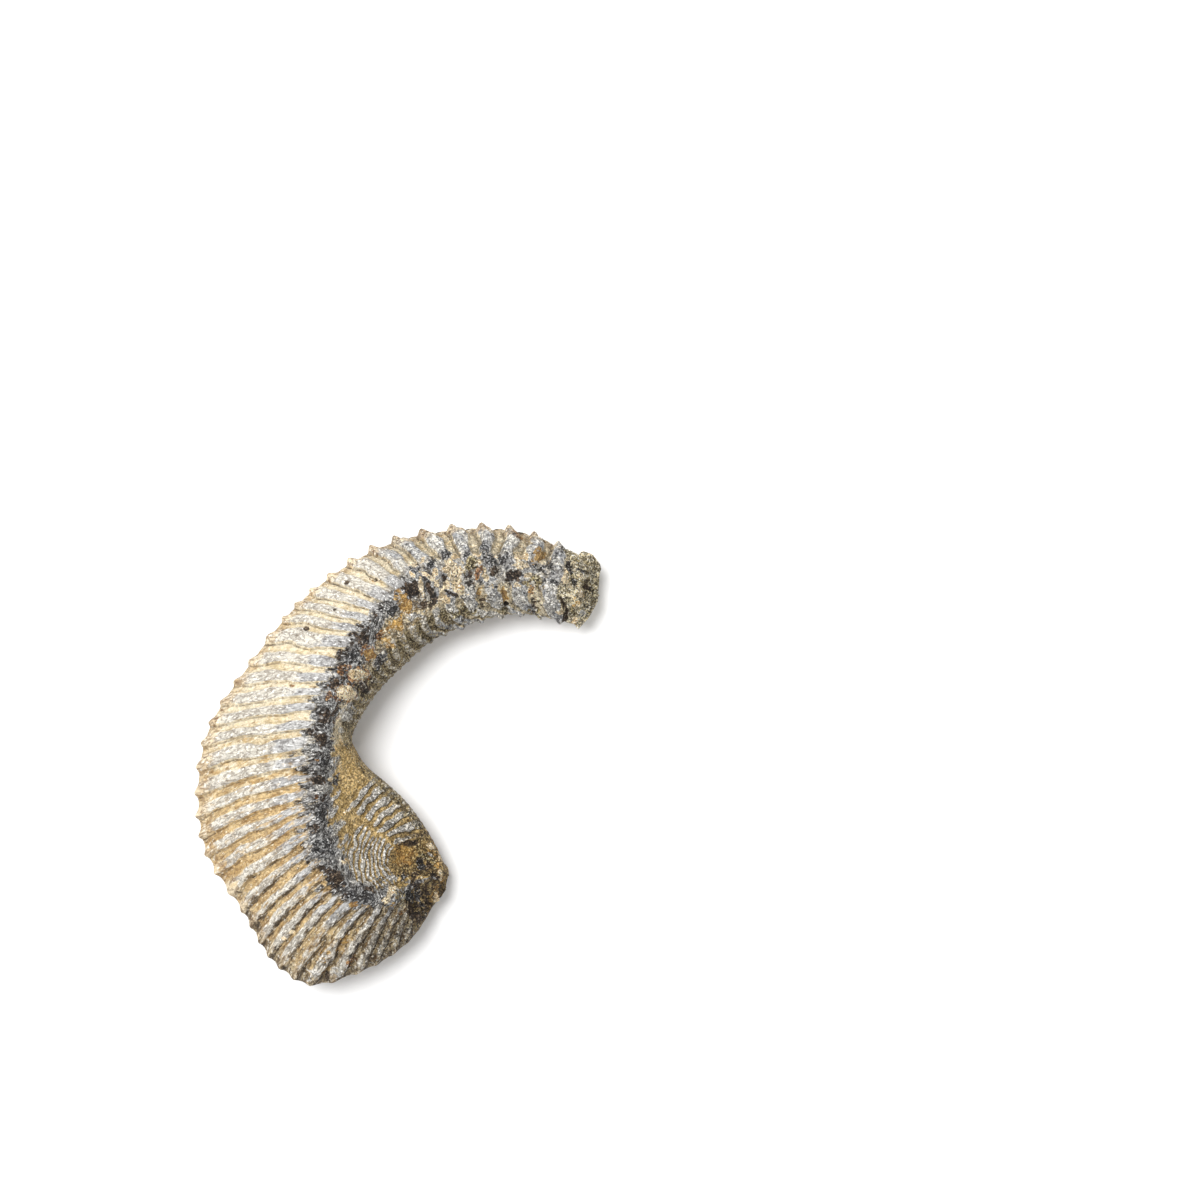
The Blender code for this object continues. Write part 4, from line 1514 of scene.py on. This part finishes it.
@dataclass
class UpperValve(Valve):
    """The ribbed valve with the crest, the inner curl and the broken tip."""

    crest_over_seam: float = 1.0
    form: UpperForm = UpperForm()
    tones: UpperTones = UpperTones()
    marks: tuple[Mark, ...] = MARKS
    mark_edge: tuple[Ripple, ...] = (Ripple(0.40, 1.1), Ripple(0.35, 2.3), Ripple(0.2, 0.55))
    mark_in: float = 0.55               # how far in from its rim a ragged mark starts to fade
    mark_out: float = 0.45              # how far out from its rim it ends
    mark_slope: Span = (0.3, 1.2)       # where a mark's lift starts to fall and ends
    slope_stray: float = 0.5            # how much of the rim's straying the lift follows
    amber_smooth: float = 0.6           # how much less rugged amber is

    def shape(self) -> Surface:
        """Shapes the two flanks between the margins and the crest, and finishes them.

        Returns:
            The valve's grid, shaped and with its masks.
        """
        rows, guides = self.rows_and_guides()
        top = np.maximum(guides.height, guides.seam + self.crest_over_seam)
        outer_steps = even_steps(self.outer_columns, OUTER_FLANK, OUTER_SLOPE)
        inner_steps = even_steps(self.inner_columns + 1, INNER_FLANK, INNER_SLOPE)[:-1]
        open_share = plateau(self.growth.dish_ribs, rows.number)[:, None]

        def opening(reach: Array) -> Array:
            """The inner flank's height share, which turns into the dish inside the curl."""
            return INNER_FLANK.at(reach) * (1 - open_share) + DishForm().at(reach) * open_share

        points = self.flanks(rows, guides, top, ((guides.crest, outer_steps, OUTER_FLANK.at),
                                                 (guides.crest, inner_steps, opening)))
        across = np.concatenate((outer_steps - 1.0, (1.0 - inner_steps)[::-1]))
        return self.finish(rows, guides, points, across)

    def relief_and_masks(self, skin: Skin) -> tuple[Array, Masks]:
        """The relief, the marks and what colours them.

        Args:
            skin: The smooth valve.

        Returns:
            How far each point stands out of the smooth valve (mm), and the masks that colour it.
        """
        cover = self.form.cover(skin)
        amount = self.form.relief(skin, cover)
        masks = self.tones.masks(skin, cover)
        for tone in Tone:
            masks.setdefault(tone.value, np.zeros_like(amount))
        stray_everywhere = skin.rippled(*self.mark_edge)
        for mark in self.marks:
            reach = mark.reach(skin.points)
            stray = mark.ragged * stray_everywhere
            starts = 1.0 - self.mark_in * mark.ragged
            ends = 1.0 + self.mark_out * mark.ragged
            cover_share = 1.0 - smooth(starts, ends, reach + stray)
            for tone in Tone:
                masks[tone.value] = masks[tone.value] * (1.0 - cover_share)
            own = mark.tone.value
            masks[own] = np.maximum(masks[own], cover_share * mark.strength)
            amount = amount + mark.lift * (1.0 - smooth(*self.mark_slope, reach + self.slope_stray * stray))
        masks["rugged"] = masks["rugged"] * (1.0 - self.amber_smooth * masks["amber"])
        # painted shade in the hollows
        masks["hollow"] = self.hollow_shade(amount)
        return amount, masks


@dataclass
class LowerValve(Valve):
    """The other valve, which the fossil lies on, with its worn keel."""

    hollow_window: int = 7
    keel_width: float = 5.0
    keel_to_middle: float = 0.35
    keel_side: float = 0.001            # keeps the keel's two edges on their own flanks
    keel_height: Span = (0.0, 1.6)      # the heights at which the keel's wear is full and ends (mm)
    keel_stone: Span = (0.6, 3.0)       # the same for its stone
    keel_edge: Ripple = Ripple(0.6, 2.5)
    rib_share: float = 0.75
    rough: Ripple = Ripple(1.0, 1.6, 0.0, 3, 0.6)
    rough_plain: float = 0.05
    rough_dome: float = 0.05
    margin: Span = (0.6, 0.9)
    worn_mean: float = 0.4
    worn_stray: Ripple = Ripple(0.5, 9.0)
    tip_edge: Ripple = Ripple(0.45, 3.0)
    umbo_ribs: Span = (37.0, 38.8)
    umbo_edge: Ripple = Ripple(0.5, 3.0)
    rugged_plain: float = 0.2
    rugged_keel: float = 0.3

    def shape(self) -> Surface:
        """Shapes the two flanks between the margins and the flat keel, and finishes them.

        Returns:
            The valve's grid, shaped and with its masks.
        """
        rows, guides = self.rows_and_guides()
        keel = guides.crest + ((guides.outer + guides.inner) / 2 - guides.crest) * self.keel_to_middle
        half = unit(guides.inner - guides.outer) * (self.keel_width / 2 * rows.wide)[:, None]
        outer_steps = even_steps(self.outer_columns, OUTER_FLANK, OUTER_SLOPE)
        inner_steps = even_steps(self.inner_columns, INNER_FLANK, INNER_SLOPE)
        points = self.flanks(rows, guides, np.zeros(rows.count), ((keel - half, outer_steps, OUTER_FLANK.at),
                                                                  (keel + half, inner_steps, INNER_FLANK.at)))
        ridge = 1.0 + self.keel_side
        across = np.concatenate((outer_steps - ridge, (ridge - inner_steps)[::-1]))
        return self.finish(rows, guides, points, across / np.abs(across).max())

    def relief_and_masks(self, skin: Skin) -> tuple[Array, Masks]:
        """Works out the ribs above the worn keel and what colours them.

        Args:
            skin: The smooth valve.

        Returns:
            How far each point stands out of the smooth valve (mm), and the masks that colour it.
        """
        height = skin.points[..., 2]
        keel = 1.0 - smooth(*self.keel_height, height)
        share = self.rib_share * (1.0 - keel)
        rough = skin.rippled(self.rough) * (self.rough_plain + self.rough_dome * skin.dome) * (1.0 - keel)
        amount = skin.relief * share * self.rib.height(skin.phase) + rough
        masks = {
            "groove": share_of(1.0 - skin.dome - keel),
            # painted shade in the crevices
            "crevice_shade": share_of(self.rib.crevice_shade(skin.phase) * share),
            "margin": smooth(*self.margin, skin.reach),
            "wear_and_shade": share_of(self.worn_mean + keel + skin.rippled(self.worn_stray)),
            # painted shade and dirt on the ribs' sides that fall to the crevices
            "lee_shade_and_dirt": self.rib.lee_shade_and_dirt(skin.phase) * (1.0 - keel),
            "tip": 1.0 - smooth(*TIP_RIBS, skin.number + skin.rippled(self.tip_edge)),
            "umbo": smooth(*self.umbo_ribs, skin.number + skin.rippled(self.umbo_edge)),
            "keel": 1.0 - smooth(*self.keel_stone, height + skin.rippled(self.keel_edge)),
            "rugged": self.rugged_plain + self.rugged_keel * keel,
            # painted shade in the hollows
            "hollow": self.hollow_shade(amount),
        }
        return amount, masks


@dataclass(frozen=True)
class Layer:
    """One kind of stone: the mask it lies on, its four colours and how they mix."""

    mask: str
    light: str
    dark: str
    fleck: str
    white: str
    shade: float
    flecks: float
    whites: float
    worms: float
    broken: float = 0.9     # how far the mask's edge breaks up
    soft: float = 0.12      # how soft the edge is
    amount: float = 1.0


@dataclass(frozen=True)
class StoneFinish:
    """The layers of the fossil's stone, from the ribs up."""

    ribs: Layer = Layer("", "DCD6C9", "C0BAAE", "82776A", "F6F2EA", 0.42, 0.2, 0.4, 0.8)
    layers: tuple[Layer, ...] = tuple(Layer(*row) for row in (
        ("slate", "BFBFBF", "9A9A9C", "5E5C5B", "EBEAE8", 0.45, 0.3, 0.4, 0.7, 1.2, 0.2, 0.8),
        ("frost", "F1ECE1", "AEB0B4", "45423F", "FFFDF8", 0.5, 0.22, 0.35, 0.75, 1.2, 0.3, 0.9),
        ("groove", "E9DCBF", "D6C39C", "A08560", "F3EBD8", 0.38, 0.2, 0.3, 0.5, 0.6, 0.14),
        ("ochre", "D0AF75", "AB8448", "7C5A30", "E8D8B4", 0.42, 0.22, 0.3, 0.7, 1.6, 0.2, 0.8),
        ("margin", "E2CDA6", "C8A877", "7A5834", "F2E7D2", 0.45, 0.3, 0.4, 0.8, 1.4, 0.3, 0.7),
        # grey-brown worn stone, partly painted shade towards the beak
        ("wear_and_shade", "BAA988", "655640", "2A2117", "E4DDCE", 0.5, 0.5, 0.45, 0.9, 1.5, 0.2, 0.75),
        # painted shade and dirt on the ribs' sides that face away from the light
        ("lee_shade_and_dirt", "8A7B64", "54442F", "21190F", "D2CABC", 0.55, 0.6, 0.25, 0.9, 2.2, 0.15, 0.85),
        ("ground", "CEB078", "AA8D56", "5A4424", "E4D0A4", 0.4, 0.3, 0.3, 0.6, 0.5, 0.2),
        ("silver", "D6D0C4", "8C877E", "46423A", "F8F5F0", 0.45, 0.35, 0.5, 0.6, 0.9, 0.16),
        ("arm_gold", "B99A64", "6E5B3C", "241B12", "DDD6C6", 0.52, 0.5, 0.5, 0.9, 2.8, 0.15, 0.8),
        ("strip", "B8A47A", "6C5E40", "2A2216", "DED2B0", 0.48, 0.4, 0.4, 0.8, 1.2, 0.2),
        ("crest", "C6C5C3", "524D49", "171411", "F0EEEA", 0.5, 0.35, 0.5, 0.9, 1.8, 0.25),
        ("keel", "A0937A", "6C604C", "2E261C", "D6CDB8", 0.5, 0.4, 0.4, 0.7, 1.6, 0.2, 0.95),
        ("umbo", "A08452", "5E4928", "1E170D", "CDB684", 0.5, 0.45, 0.4, 0.8, 1.4, 0.2, 0.9),
        ("tip", "E6D8B4", "A6966C", "241E14", "FFF9EA", 0.4, 0.4, 0.5, 0.8, 2.0, 0.2, 0.95),
        ("olive", "A8976A", "6A5A38", "1E180E", "E2D7B4", 0.45, 0.4, 0.45, 0.9, 2.2, 0.2, 0.95),
        ("pale", "DCD8D0", "ACA8A0", "4E4A44", "FAF7F2", 0.4, 0.3, 0.45, 0.7, 2.2, 0.18, 0.95),
        ("ink", "5C5B5C", "2A2928", "100F0E", "C2C1C0", 0.5, 0.35, 0.45, 0.7, 2.4, 0.12, 0.95),
        ("brown", "574534", "2A2019", "120C08", "A08B74", 0.5, 0.35, 0.3, 0.7, 2.0, 0.15, 0.95),
        ("rust", "BA8440", "84502A", "3A1E0C", "E0B884", 0.5, 0.4, 0.4, 0.9, 2.4, 0.16, 0.85),
        ("amber", "C49A54", "946A34", "442C10", "E4CC94", 0.4, 0.3, 0.35, 0.5, 2.0, 0.15, 0.9),
        ("cream", "F0DDB9", "DCC093", "9A7446", "FCF4E4", 0.4, 0.12, 0.45, 0.4, 1.2, 0.12),
    ))
    # the layers whose grain follows the ribs
    grained: tuple[str, ...] = ("slate", "frost", "groove", "ochre", "margin", "wear_and_shade", "lee_shade_and_dirt", "crest")
    # the dark colour of the painted shade in the crevices and the hollows
    crevice_shade: str = "463A2C"
    crevice_shade_amount: float = 0.9
    hollow_shade_amount: float = 0.55
    crevice_breaks: Span = (0.25, 0.55)
    plain_scale: float = 1400.0
    along_scale: float = 1100.0
    roughness: float = 0.8
    specular: float = 0.35
    contrast: float = 2.0
    bump: float = 1.0
    bump_reach: float = 0.0006
    strength: float = 0.9       # how pale the whole stone is

    def only(self, *masks: str) -> "StoneFinish":
        """The same finish with only the layers on these masks."""
        return replace(self, layers=tuple(layer for layer in self.layers if layer.mask in masks))


class Tree:
    """Adds and links the nodes of one node tree."""

    MIX_INPUTS: ClassVar[tuple[int, int, int]] = (0, 6, 7)      # a colour mix's factor and its two colours
    MIX_OUTPUT: ClassVar[int] = 2

    def __init__(self, tree: Group) -> None:
        """Starts on a tree."""
        self.tree = tree

    def add(self, kind: str, **settings: object) -> bpy.types.Node:
        """Adds a node.

        Args:
            kind: The node's type.
            settings: Its settings.

        Returns:
            The node.
        """
        node = self.tree.nodes.new(kind)
        for name, value in settings.items():
            setattr(node, name, value)
        return node

    def put(self, socket: Socket, value: object) -> None:
        """Links a socket, or sets its value.

        Args:
            socket: The input.
            value: Another node's output, or a value.
        """
        if isinstance(value, Socket):
            self.tree.links.new(value, socket)
        else:
            socket.default_value = value

    def fill(self, node: bpy.types.Node, **values: object) -> bpy.types.Node:
        """Links or sets several inputs of a node.

        Args:
            node: The node.
            values: The inputs' names, with _ for a space, and what they take.

        Returns:
            The node.
        """
        for name, value in values.items():
            self.put(node.inputs[name.replace("_", " ")], value)
        return node

    def math(self, operation: str, *values: object) -> Socket:
        """A math node's result.

        Args:
            operation: What the node does.
            values: What it does it to.

        Returns:
            The result.
        """
        node = self.add("ShaderNodeMath", operation=operation)
        for socket, value in zip(node.inputs, values):
            self.put(socket, value)
        return node.outputs[0]

    def times(self, first: object, second: object) -> Socket:
        """The first value times the second."""
        return self.math("MULTIPLY", first, second)

    def plus(self, first: object, second: object) -> Socket:
        """The two values added."""
        return self.math("ADD", first, second)

    def minus(self, first: object, second: object) -> Socket:
        """The first value less the second."""
        return self.math("SUBTRACT", first, second)

    def mix(self, factor: object, first: object, second: object) -> Socket:
        """Mixes two colours.

        Args:
            factor: How much of the second colour shows.
            first: The first colour.
            second: The second colour.

        Returns:
            The mixed colour.
        """
        node = self.add("ShaderNodeMix", data_type="RGBA")
        for index, value in zip(self.MIX_INPUTS, (factor, first, second)):
            self.put(node.inputs[index], value)
        return node.outputs[self.MIX_OUTPUT]

    def step(self, value: object, low: object, high: object) -> Socket:
        """A smooth step from 0 at low to 1 at high."""
        node = self.add("ShaderNodeMapRange", interpolation_type="SMOOTHSTEP")
        return self.fill(node, Value=value, From_Min=low, From_Max=high).outputs[0]

    def attribute(self, name: str, output: str = "Fac") -> Socket:
        """One of the mesh's own values."""
        return self.add("ShaderNodeAttribute", attribute_name=name).outputs[output]

    def group(self, group: Group, **values: object) -> bpy.types.Node:
        """A group node with its inputs set or linked."""
        return self.fill(self.add("ShaderNodeGroup", node_tree=group), **values)


@dataclass
class StoneGroups:
    """The effects that both valves' materials share."""

    sizes: tuple[tuple[str, float], ...] = (("Broad", 0.3), ("Fine", 1.0), ("Third", 1.7), ("Edge", 0.8))
    detail: float = 4.0
    noise_rough: float = 0.6
    spread: tuple[float, float] = (1.15, -0.075)    # stretches a noise's values to about 0 to 1
    worm_size: float = 0.8
    worm_detail: float = 2.5
    worm_swirl: float = 0.6
    break_from: Span = (0.0, 0.3)       # the mask at which its edge starts to break up
    broad_share: float = 1.4
    fine_share: float = 0.6
    shade_share: float = 0.6
    shade_step: Span = (1.12, 1.48)
    worm_width: tuple[float, float] = (0.06, 0.02)
    worm_core: float = 0.4
    worm_dark: float = 0.8
    fleck_share: float = 0.2
    fleck_step: Span = (0.65, 0.74)
    rugged_gain: tuple[float, float] = (2.2, 0.6)
    worm_light: float = 1.6
    speck_mean: float = 0.555
    speck_limits: tuple[float, float] = (0.2, 1.8)
    third_height: float = 0.7
    wear_share: float = 0.3
    noises: Group = field(init=False)
    ragged: Group = field(init=False)
    tones: Group = field(init=False)
    grain: Group = field(init=False)

    def __post_init__(self) -> None:
        """Builds the groups."""
        self.noises, self.ragged = self.build_noises(), self.build_ragged()
        self.tones, self.grain = self.build_tones(), self.build_grain()

    @staticmethod
    def start(name: str, floats: tuple[str, ...], colours: tuple[str, ...] = (),
              vectors: tuple[str, ...] = (), gives: tuple[str, ...] = (),
              gives_colour: tuple[str, ...] = ()) -> tuple[object, ...]:
        """A new node group with its sockets.

        Args:
            name: The group's name.
            floats: The inputs that are values.
            colours: The inputs that are colours.
            vectors: The inputs that are places.
            gives: The outputs that are values.
            gives_colour: The outputs that are colours.

        Returns:
            The group, its tree helper, the given sockets and the output node.
        """
        made = bpy.data.node_groups.new(name, "ShaderNodeTree")
        wanted = (("INPUT", "NodeSocketVector", vectors), ("INPUT", "NodeSocketColor", colours),
                  ("INPUT", "NodeSocketFloat", floats), ("OUTPUT", "NodeSocketFloat", gives),
                  ("OUTPUT", "NodeSocketColor", gives_colour))
        for way, kind, labels in wanted:
            for label in labels:
                made.interface.new_socket(label, in_out=way, socket_type=kind)
        tree = Tree(made)
        return made, tree, tree.add("NodeGroupInput").outputs, tree.add("NodeGroupOutput")

    def build_noises(self) -> Group:
        """Builds the noises that all layers share: broad and fine blotches, worm lines and ragged edges.

        Returns:
            The group.
        """
        made, tree, given, out = self.start("stone_noises", ("Scale",), vectors=("Vector",),
                                            gives=("Broad", "Fine", "Third", "Worm", "Edge"))
        stretch, shift = self.spread
        for label, size in self.sizes:
            node = tree.add("ShaderNodeTexNoise")
            tree.fill(node, Vector=given["Vector"], Scale=tree.times(given["Scale"], size),
                      Detail=self.detail, Roughness=self.noise_rough)
            tree.put(out.inputs[label], tree.math("MULTIPLY_ADD", node.outputs[0], stretch, shift))
        worm = tree.add("ShaderNodeTexNoise")
        tree.fill(worm, Vector=given["Vector"], Scale=tree.times(given["Scale"], self.worm_size),
                  Detail=self.worm_detail, Roughness=self.noise_rough, Distortion=self.worm_swirl)
        tree.put(out.inputs["Worm"], tree.math("ABSOLUTE", tree.minus(worm.outputs[0], 0.5)))
        return made

    def build_ragged(self) -> Group:
        """Builds a mask whose soft edge breaks up into specks.

        Returns:
            The group.
        """
        made, tree, given, out = self.start("ragged_edge", ("Mask", "Noise", "Break", "Soft"),
                                            gives=("Mask",))
        shake = tree.times(tree.minus(given["Noise"], 0.5), given["Break"])
        shake = tree.times(shake, tree.step(given["Mask"], *self.break_from))
        low = tree.minus(0.5, given["Soft"])
        high = tree.plus(0.5, given["Soft"])
        tree.put(out.inputs["Mask"], tree.step(tree.plus(given["Mask"], shake), low, high))
        return made

    def build_tones(self) -> Group:
        """Builds two tones of stone with dark worm lines, dark flecks and white flecks.

        Returns:
            The group.
        """
        made, tree, given, out = self.start(
            "stone_tones", ("Broad", "Fine", "Third", "Worm", "Shade", "Flecks", "Whites", "Worms"),
            ("Light", "Dark", "Fleck", "White"), gives_colour=("Color",))
        broad, fine = tree.times(given["Broad"], self.broad_share), tree.times(given["Fine"], self.fine_share)
        shade = tree.plus(tree.plus(broad, fine), tree.times(given["Shade"], self.shade_share))
        colour = tree.mix(tree.step(shade, *self.shade_step), given["Light"], given["Dark"])
        gain, least = self.worm_width
        width = tree.plus(tree.times(given["Worms"], gain), least)
        line = tree.minus(1.0, tree.step(given["Worm"], tree.times(width, self.worm_core), width))
        dark = tree.times(line, tree.times(given["Worms"], self.worm_dark))
        colour = tree.mix(dark, colour, given["Fleck"])
        for noise, label, tint in (("Fine", "Flecks", "Fleck"), ("Third", "Whites", "White")):
            value = tree.plus(given[noise], tree.times(given[label], self.fleck_share))
            colour = tree.mix(tree.step(value, *self.fleck_step), colour, given[tint])
        tree.put(out.inputs["Color"], colour)
        return made

    def build_grain(self) -> Group:
        """Builds the stone's fine grain: specks, a height and a roughness, more where it is rugged.

        Returns:
            The group.
        """
        made, tree, given, out = self.start(
            "stone_grain", ("Broad", "Fine", "Third", "Worm", "Rugged", "Contrast", "Roughness"), ("Color",),
            gives=("Height", "Roughness"), gives_colour=("Color",))
        gain, least = self.rugged_gain
        strength = tree.plus(tree.times(given["Rugged"], gain), least)
        specks = tree.times(tree.plus(given["Third"], given["Fine"]), 0.5)
        specks = tree.plus(specks, tree.times(given["Worm"], self.worm_light))
        centred = tree.minus(specks, self.speck_mean)
        share = tree.times(tree.times(centred, given["Contrast"]), strength)
        darkest, lightest = self.speck_limits
        factor = tree.math("MINIMUM", tree.math("MAXIMUM", tree.plus(share, 1.0), darkest), lightest)
        scaled = tree.add("ShaderNodeVectorMath", operation="SCALE")
        tree.put(scaled.inputs[0], given["Color"])
        tree.put(scaled.inputs["Scale"], factor)
        height = tree.plus(given["Fine"], tree.times(given["Third"], self.third_height))
        height = tree.times(tree.plus(height, given["Worm"]), strength)
        wear = tree.times(tree.minus(given["Broad"], 0.5), self.wear_share)
        tree.fill(out, Color=scaled.outputs[0], Height=height, Roughness=tree.plus(given["Roughness"], wear))
        return made


@dataclass
class StoneMaterial:
    """The material of one valve."""

    name: str
    finish: StoneFinish
    groups: StoneGroups

    NOISES: ClassVar[tuple[str, ...]] = ("Broad", "Fine", "Third", "Worm")

    def build(self) -> bpy.types.Material:
        """Builds the node tree.

        Returns:
            The material.
        """
        made = bpy.data.materials.new(self.name)
        made.use_nodes = True
        made.node_tree.nodes.clear()
        tree = Tree(made.node_tree)
        finish, groups = self.finish, self.groups
        place = tree.add("ShaderNodeTexCoord").outputs["Object"]
        lay = tree.attribute("lay", "Vector")
        plain = tree.group(groups.noises, Vector=place, Scale=finish.plain_scale).outputs
        along = tree.group(groups.noises, Vector=lay, Scale=finish.along_scale).outputs
        colour = self.tones(tree, along, finish.ribs)
        for layer in finish.layers:
            noises = along if layer.mask in finish.grained else plain
            mask = tree.group(groups.ragged, Mask=tree.attribute(layer.mask), Noise=noises["Edge"],
                              Break=layer.broken, Soft=layer.soft).outputs["Mask"]
            cover = tree.times(mask, layer.amount)
            colour = tree.mix(cover, colour, self.tones(tree, noises, layer))
        # painted shade: the crevices and the hollows are darkened with one dark colour
        for mask, amount in (("crevice_shade", finish.crevice_shade_amount), ("hollow", finish.hollow_shade_amount)):
            cover = tree.times(tree.attribute(mask), amount)
            cover = tree.times(cover, tree.step(plain["Edge"], *finish.crevice_breaks))
            colour = tree.mix(cover, colour, linear(finish.crevice_shade, finish.strength))
        shared = {label: plain[label] for label in self.NOISES}
        grain = tree.group(groups.grain, Rugged=tree.attribute("rugged"), Contrast=finish.contrast,
                           Roughness=finish.roughness, Color=colour, **shared).outputs
        raised = tree.fill(tree.add("ShaderNodeBump"), Strength=finish.bump, Distance=finish.bump_reach,
                           Height=grain["Height"])
        shader = tree.fill(tree.add("ShaderNodeBsdfPrincipled"), Base_Color=grain["Color"],
                           Roughness=grain["Roughness"], Normal=raised.outputs[0],
                           Specular_IOR_Level=finish.specular)
        tree.put(tree.add("ShaderNodeOutputMaterial").inputs["Surface"], shader.outputs[0])
        return made

    def tones(self, tree: Tree, noises: bpy.types.bpy_prop_collection, layer: Layer) -> Socket:
        """Mottles one layer's colours.

        Args:
            tree: The material's tree.
            noises: The noises that the layer reads.
            layer: The layer.

        Returns:
            The layer's colour.
        """
        shared = {label: noises[label] for label in self.NOISES}
        for label, colour in (("Light", layer.light), ("Dark", layer.dark), ("Fleck", layer.fleck),
                              ("White", layer.white)):
            shared[label] = linear(colour, self.finish.strength)
        node = tree.group(self.groups.tones, Shade=layer.shade, Flecks=layer.flecks, Whites=layer.whites,
                          Worms=layer.worms, **shared)
        return node.outputs["Color"]


@dataclass
class Studio:
    """The floor, the light and the camera; the camera's sizes are in millimetres, the rest in metres."""

    camera_place: tuple[float, float, float] = (44.2, 34.075, 500.0)
    view_width: float = 270.0
    sensor: float = 36.0
    clip: Span = (0.01, 10.0)
    floor_size: float = 6.0
    floor_tone: float = 0.97
    floor_roughness: float = 0.9
    floor_specular: float = 0.1
    key_place: tuple[float, float, float] = (-0.24, 0.27, 0.80)
    key_size: float = 0.55
    key_power: float = 9.2
    sky: float = 0.6

    def build(self) -> None:
        """Builds all of it and shows colours plainly."""
        for part in (self.build_floor, self.build_light, self.build_camera):
            part()
        bpy.context.scene.view_settings.view_transform = "Standard"

    def build_floor(self) -> None:
        """Lays a plain pale floor under the fossil."""
        bpy.ops.object.select_all(action="DESELECT")
        bpy.ops.mesh.primitive_plane_add(size=self.floor_size, location=(0.0, 0.0, 0.0))
        floor = bpy.context.object
        floor.name = "floor"
        made = bpy.data.materials.new("pale_floor")
        made.use_nodes = True
        Tree(made.node_tree).fill(
            made.node_tree.nodes["Principled BSDF"], Base_Color=(*(self.floor_tone,) * 3, 1.0),
            Roughness=self.floor_roughness, Specular_IOR_Level=self.floor_specular)
        floor.data.materials.append(made)

    def build_light(self) -> None:
        """Adds a pale sky all round and one soft light from the upper left."""
        world = bpy.data.worlds.new("studio")
        bpy.context.scene.world = world
        world.use_nodes = True
        Tree(world.node_tree).fill(world.node_tree.nodes["Background"], Color=(1.0,) * 4, Strength=self.sky)
        light = bpy.data.lights.new("key", "AREA")
        light.shape = "DISK"
        light.size = self.key_size
        light.energy = self.key_power
        key = bpy.data.objects.new("key", light)
        bpy.context.scene.collection.objects.link(key)
        key.location = self.key_place
        key.rotation_euler = (-Vector(self.key_place)).to_track_quat("-Z", "Y").to_euler()

    def build_camera(self) -> None:
        """Adds a camera that looks straight down."""
        lens = bpy.data.cameras.new("camera")
        lens.sensor_width = self.sensor
        lens.lens = self.sensor * self.camera_place[2] / self.view_width
        lens.clip_start, lens.clip_end = self.clip
        camera = bpy.data.objects.new("camera", lens)
        bpy.context.scene.collection.objects.link(camera)
        camera.location = [value * MM for value in self.camera_place]
        bpy.context.scene.camera = camera


def main() -> None:
    """Builds and dresses the two valves and the studio."""
    logging.basicConfig(level=logging.INFO, format="%(name)s: %(message)s")
    growth = Growth()
    groups = StoneGroups()
    finish = StoneFinish()
    lower_finish = finish.only("groove", "margin", "wear_and_shade", "lee_shade_and_dirt", "keel", "umbo", "tip")
    upper = UpperValve("upper_valve_shell", "upper_valve", "upper_shell", Side.UP, growth, seed=7,
                       per_rib=17, tip_rows=14, beak_rows=8, cap_rows=9, outer_columns=74, inner_columns=56)
    upper.build(StoneMaterial("upper_stone", finish, groups).build())
    lower = LowerValve("lower_valve_shell", "lower_valve", "lower_shell", Side.DOWN, growth, seed=11,
                       per_rib=12, tip_rows=10, beak_rows=6, cap_rows=6, outer_columns=42, inner_columns=34)
    lower.build(StoneMaterial("lower_stone", lower_finish, groups).build())
    Studio().build()


if __name__ == "__main__":
    main()
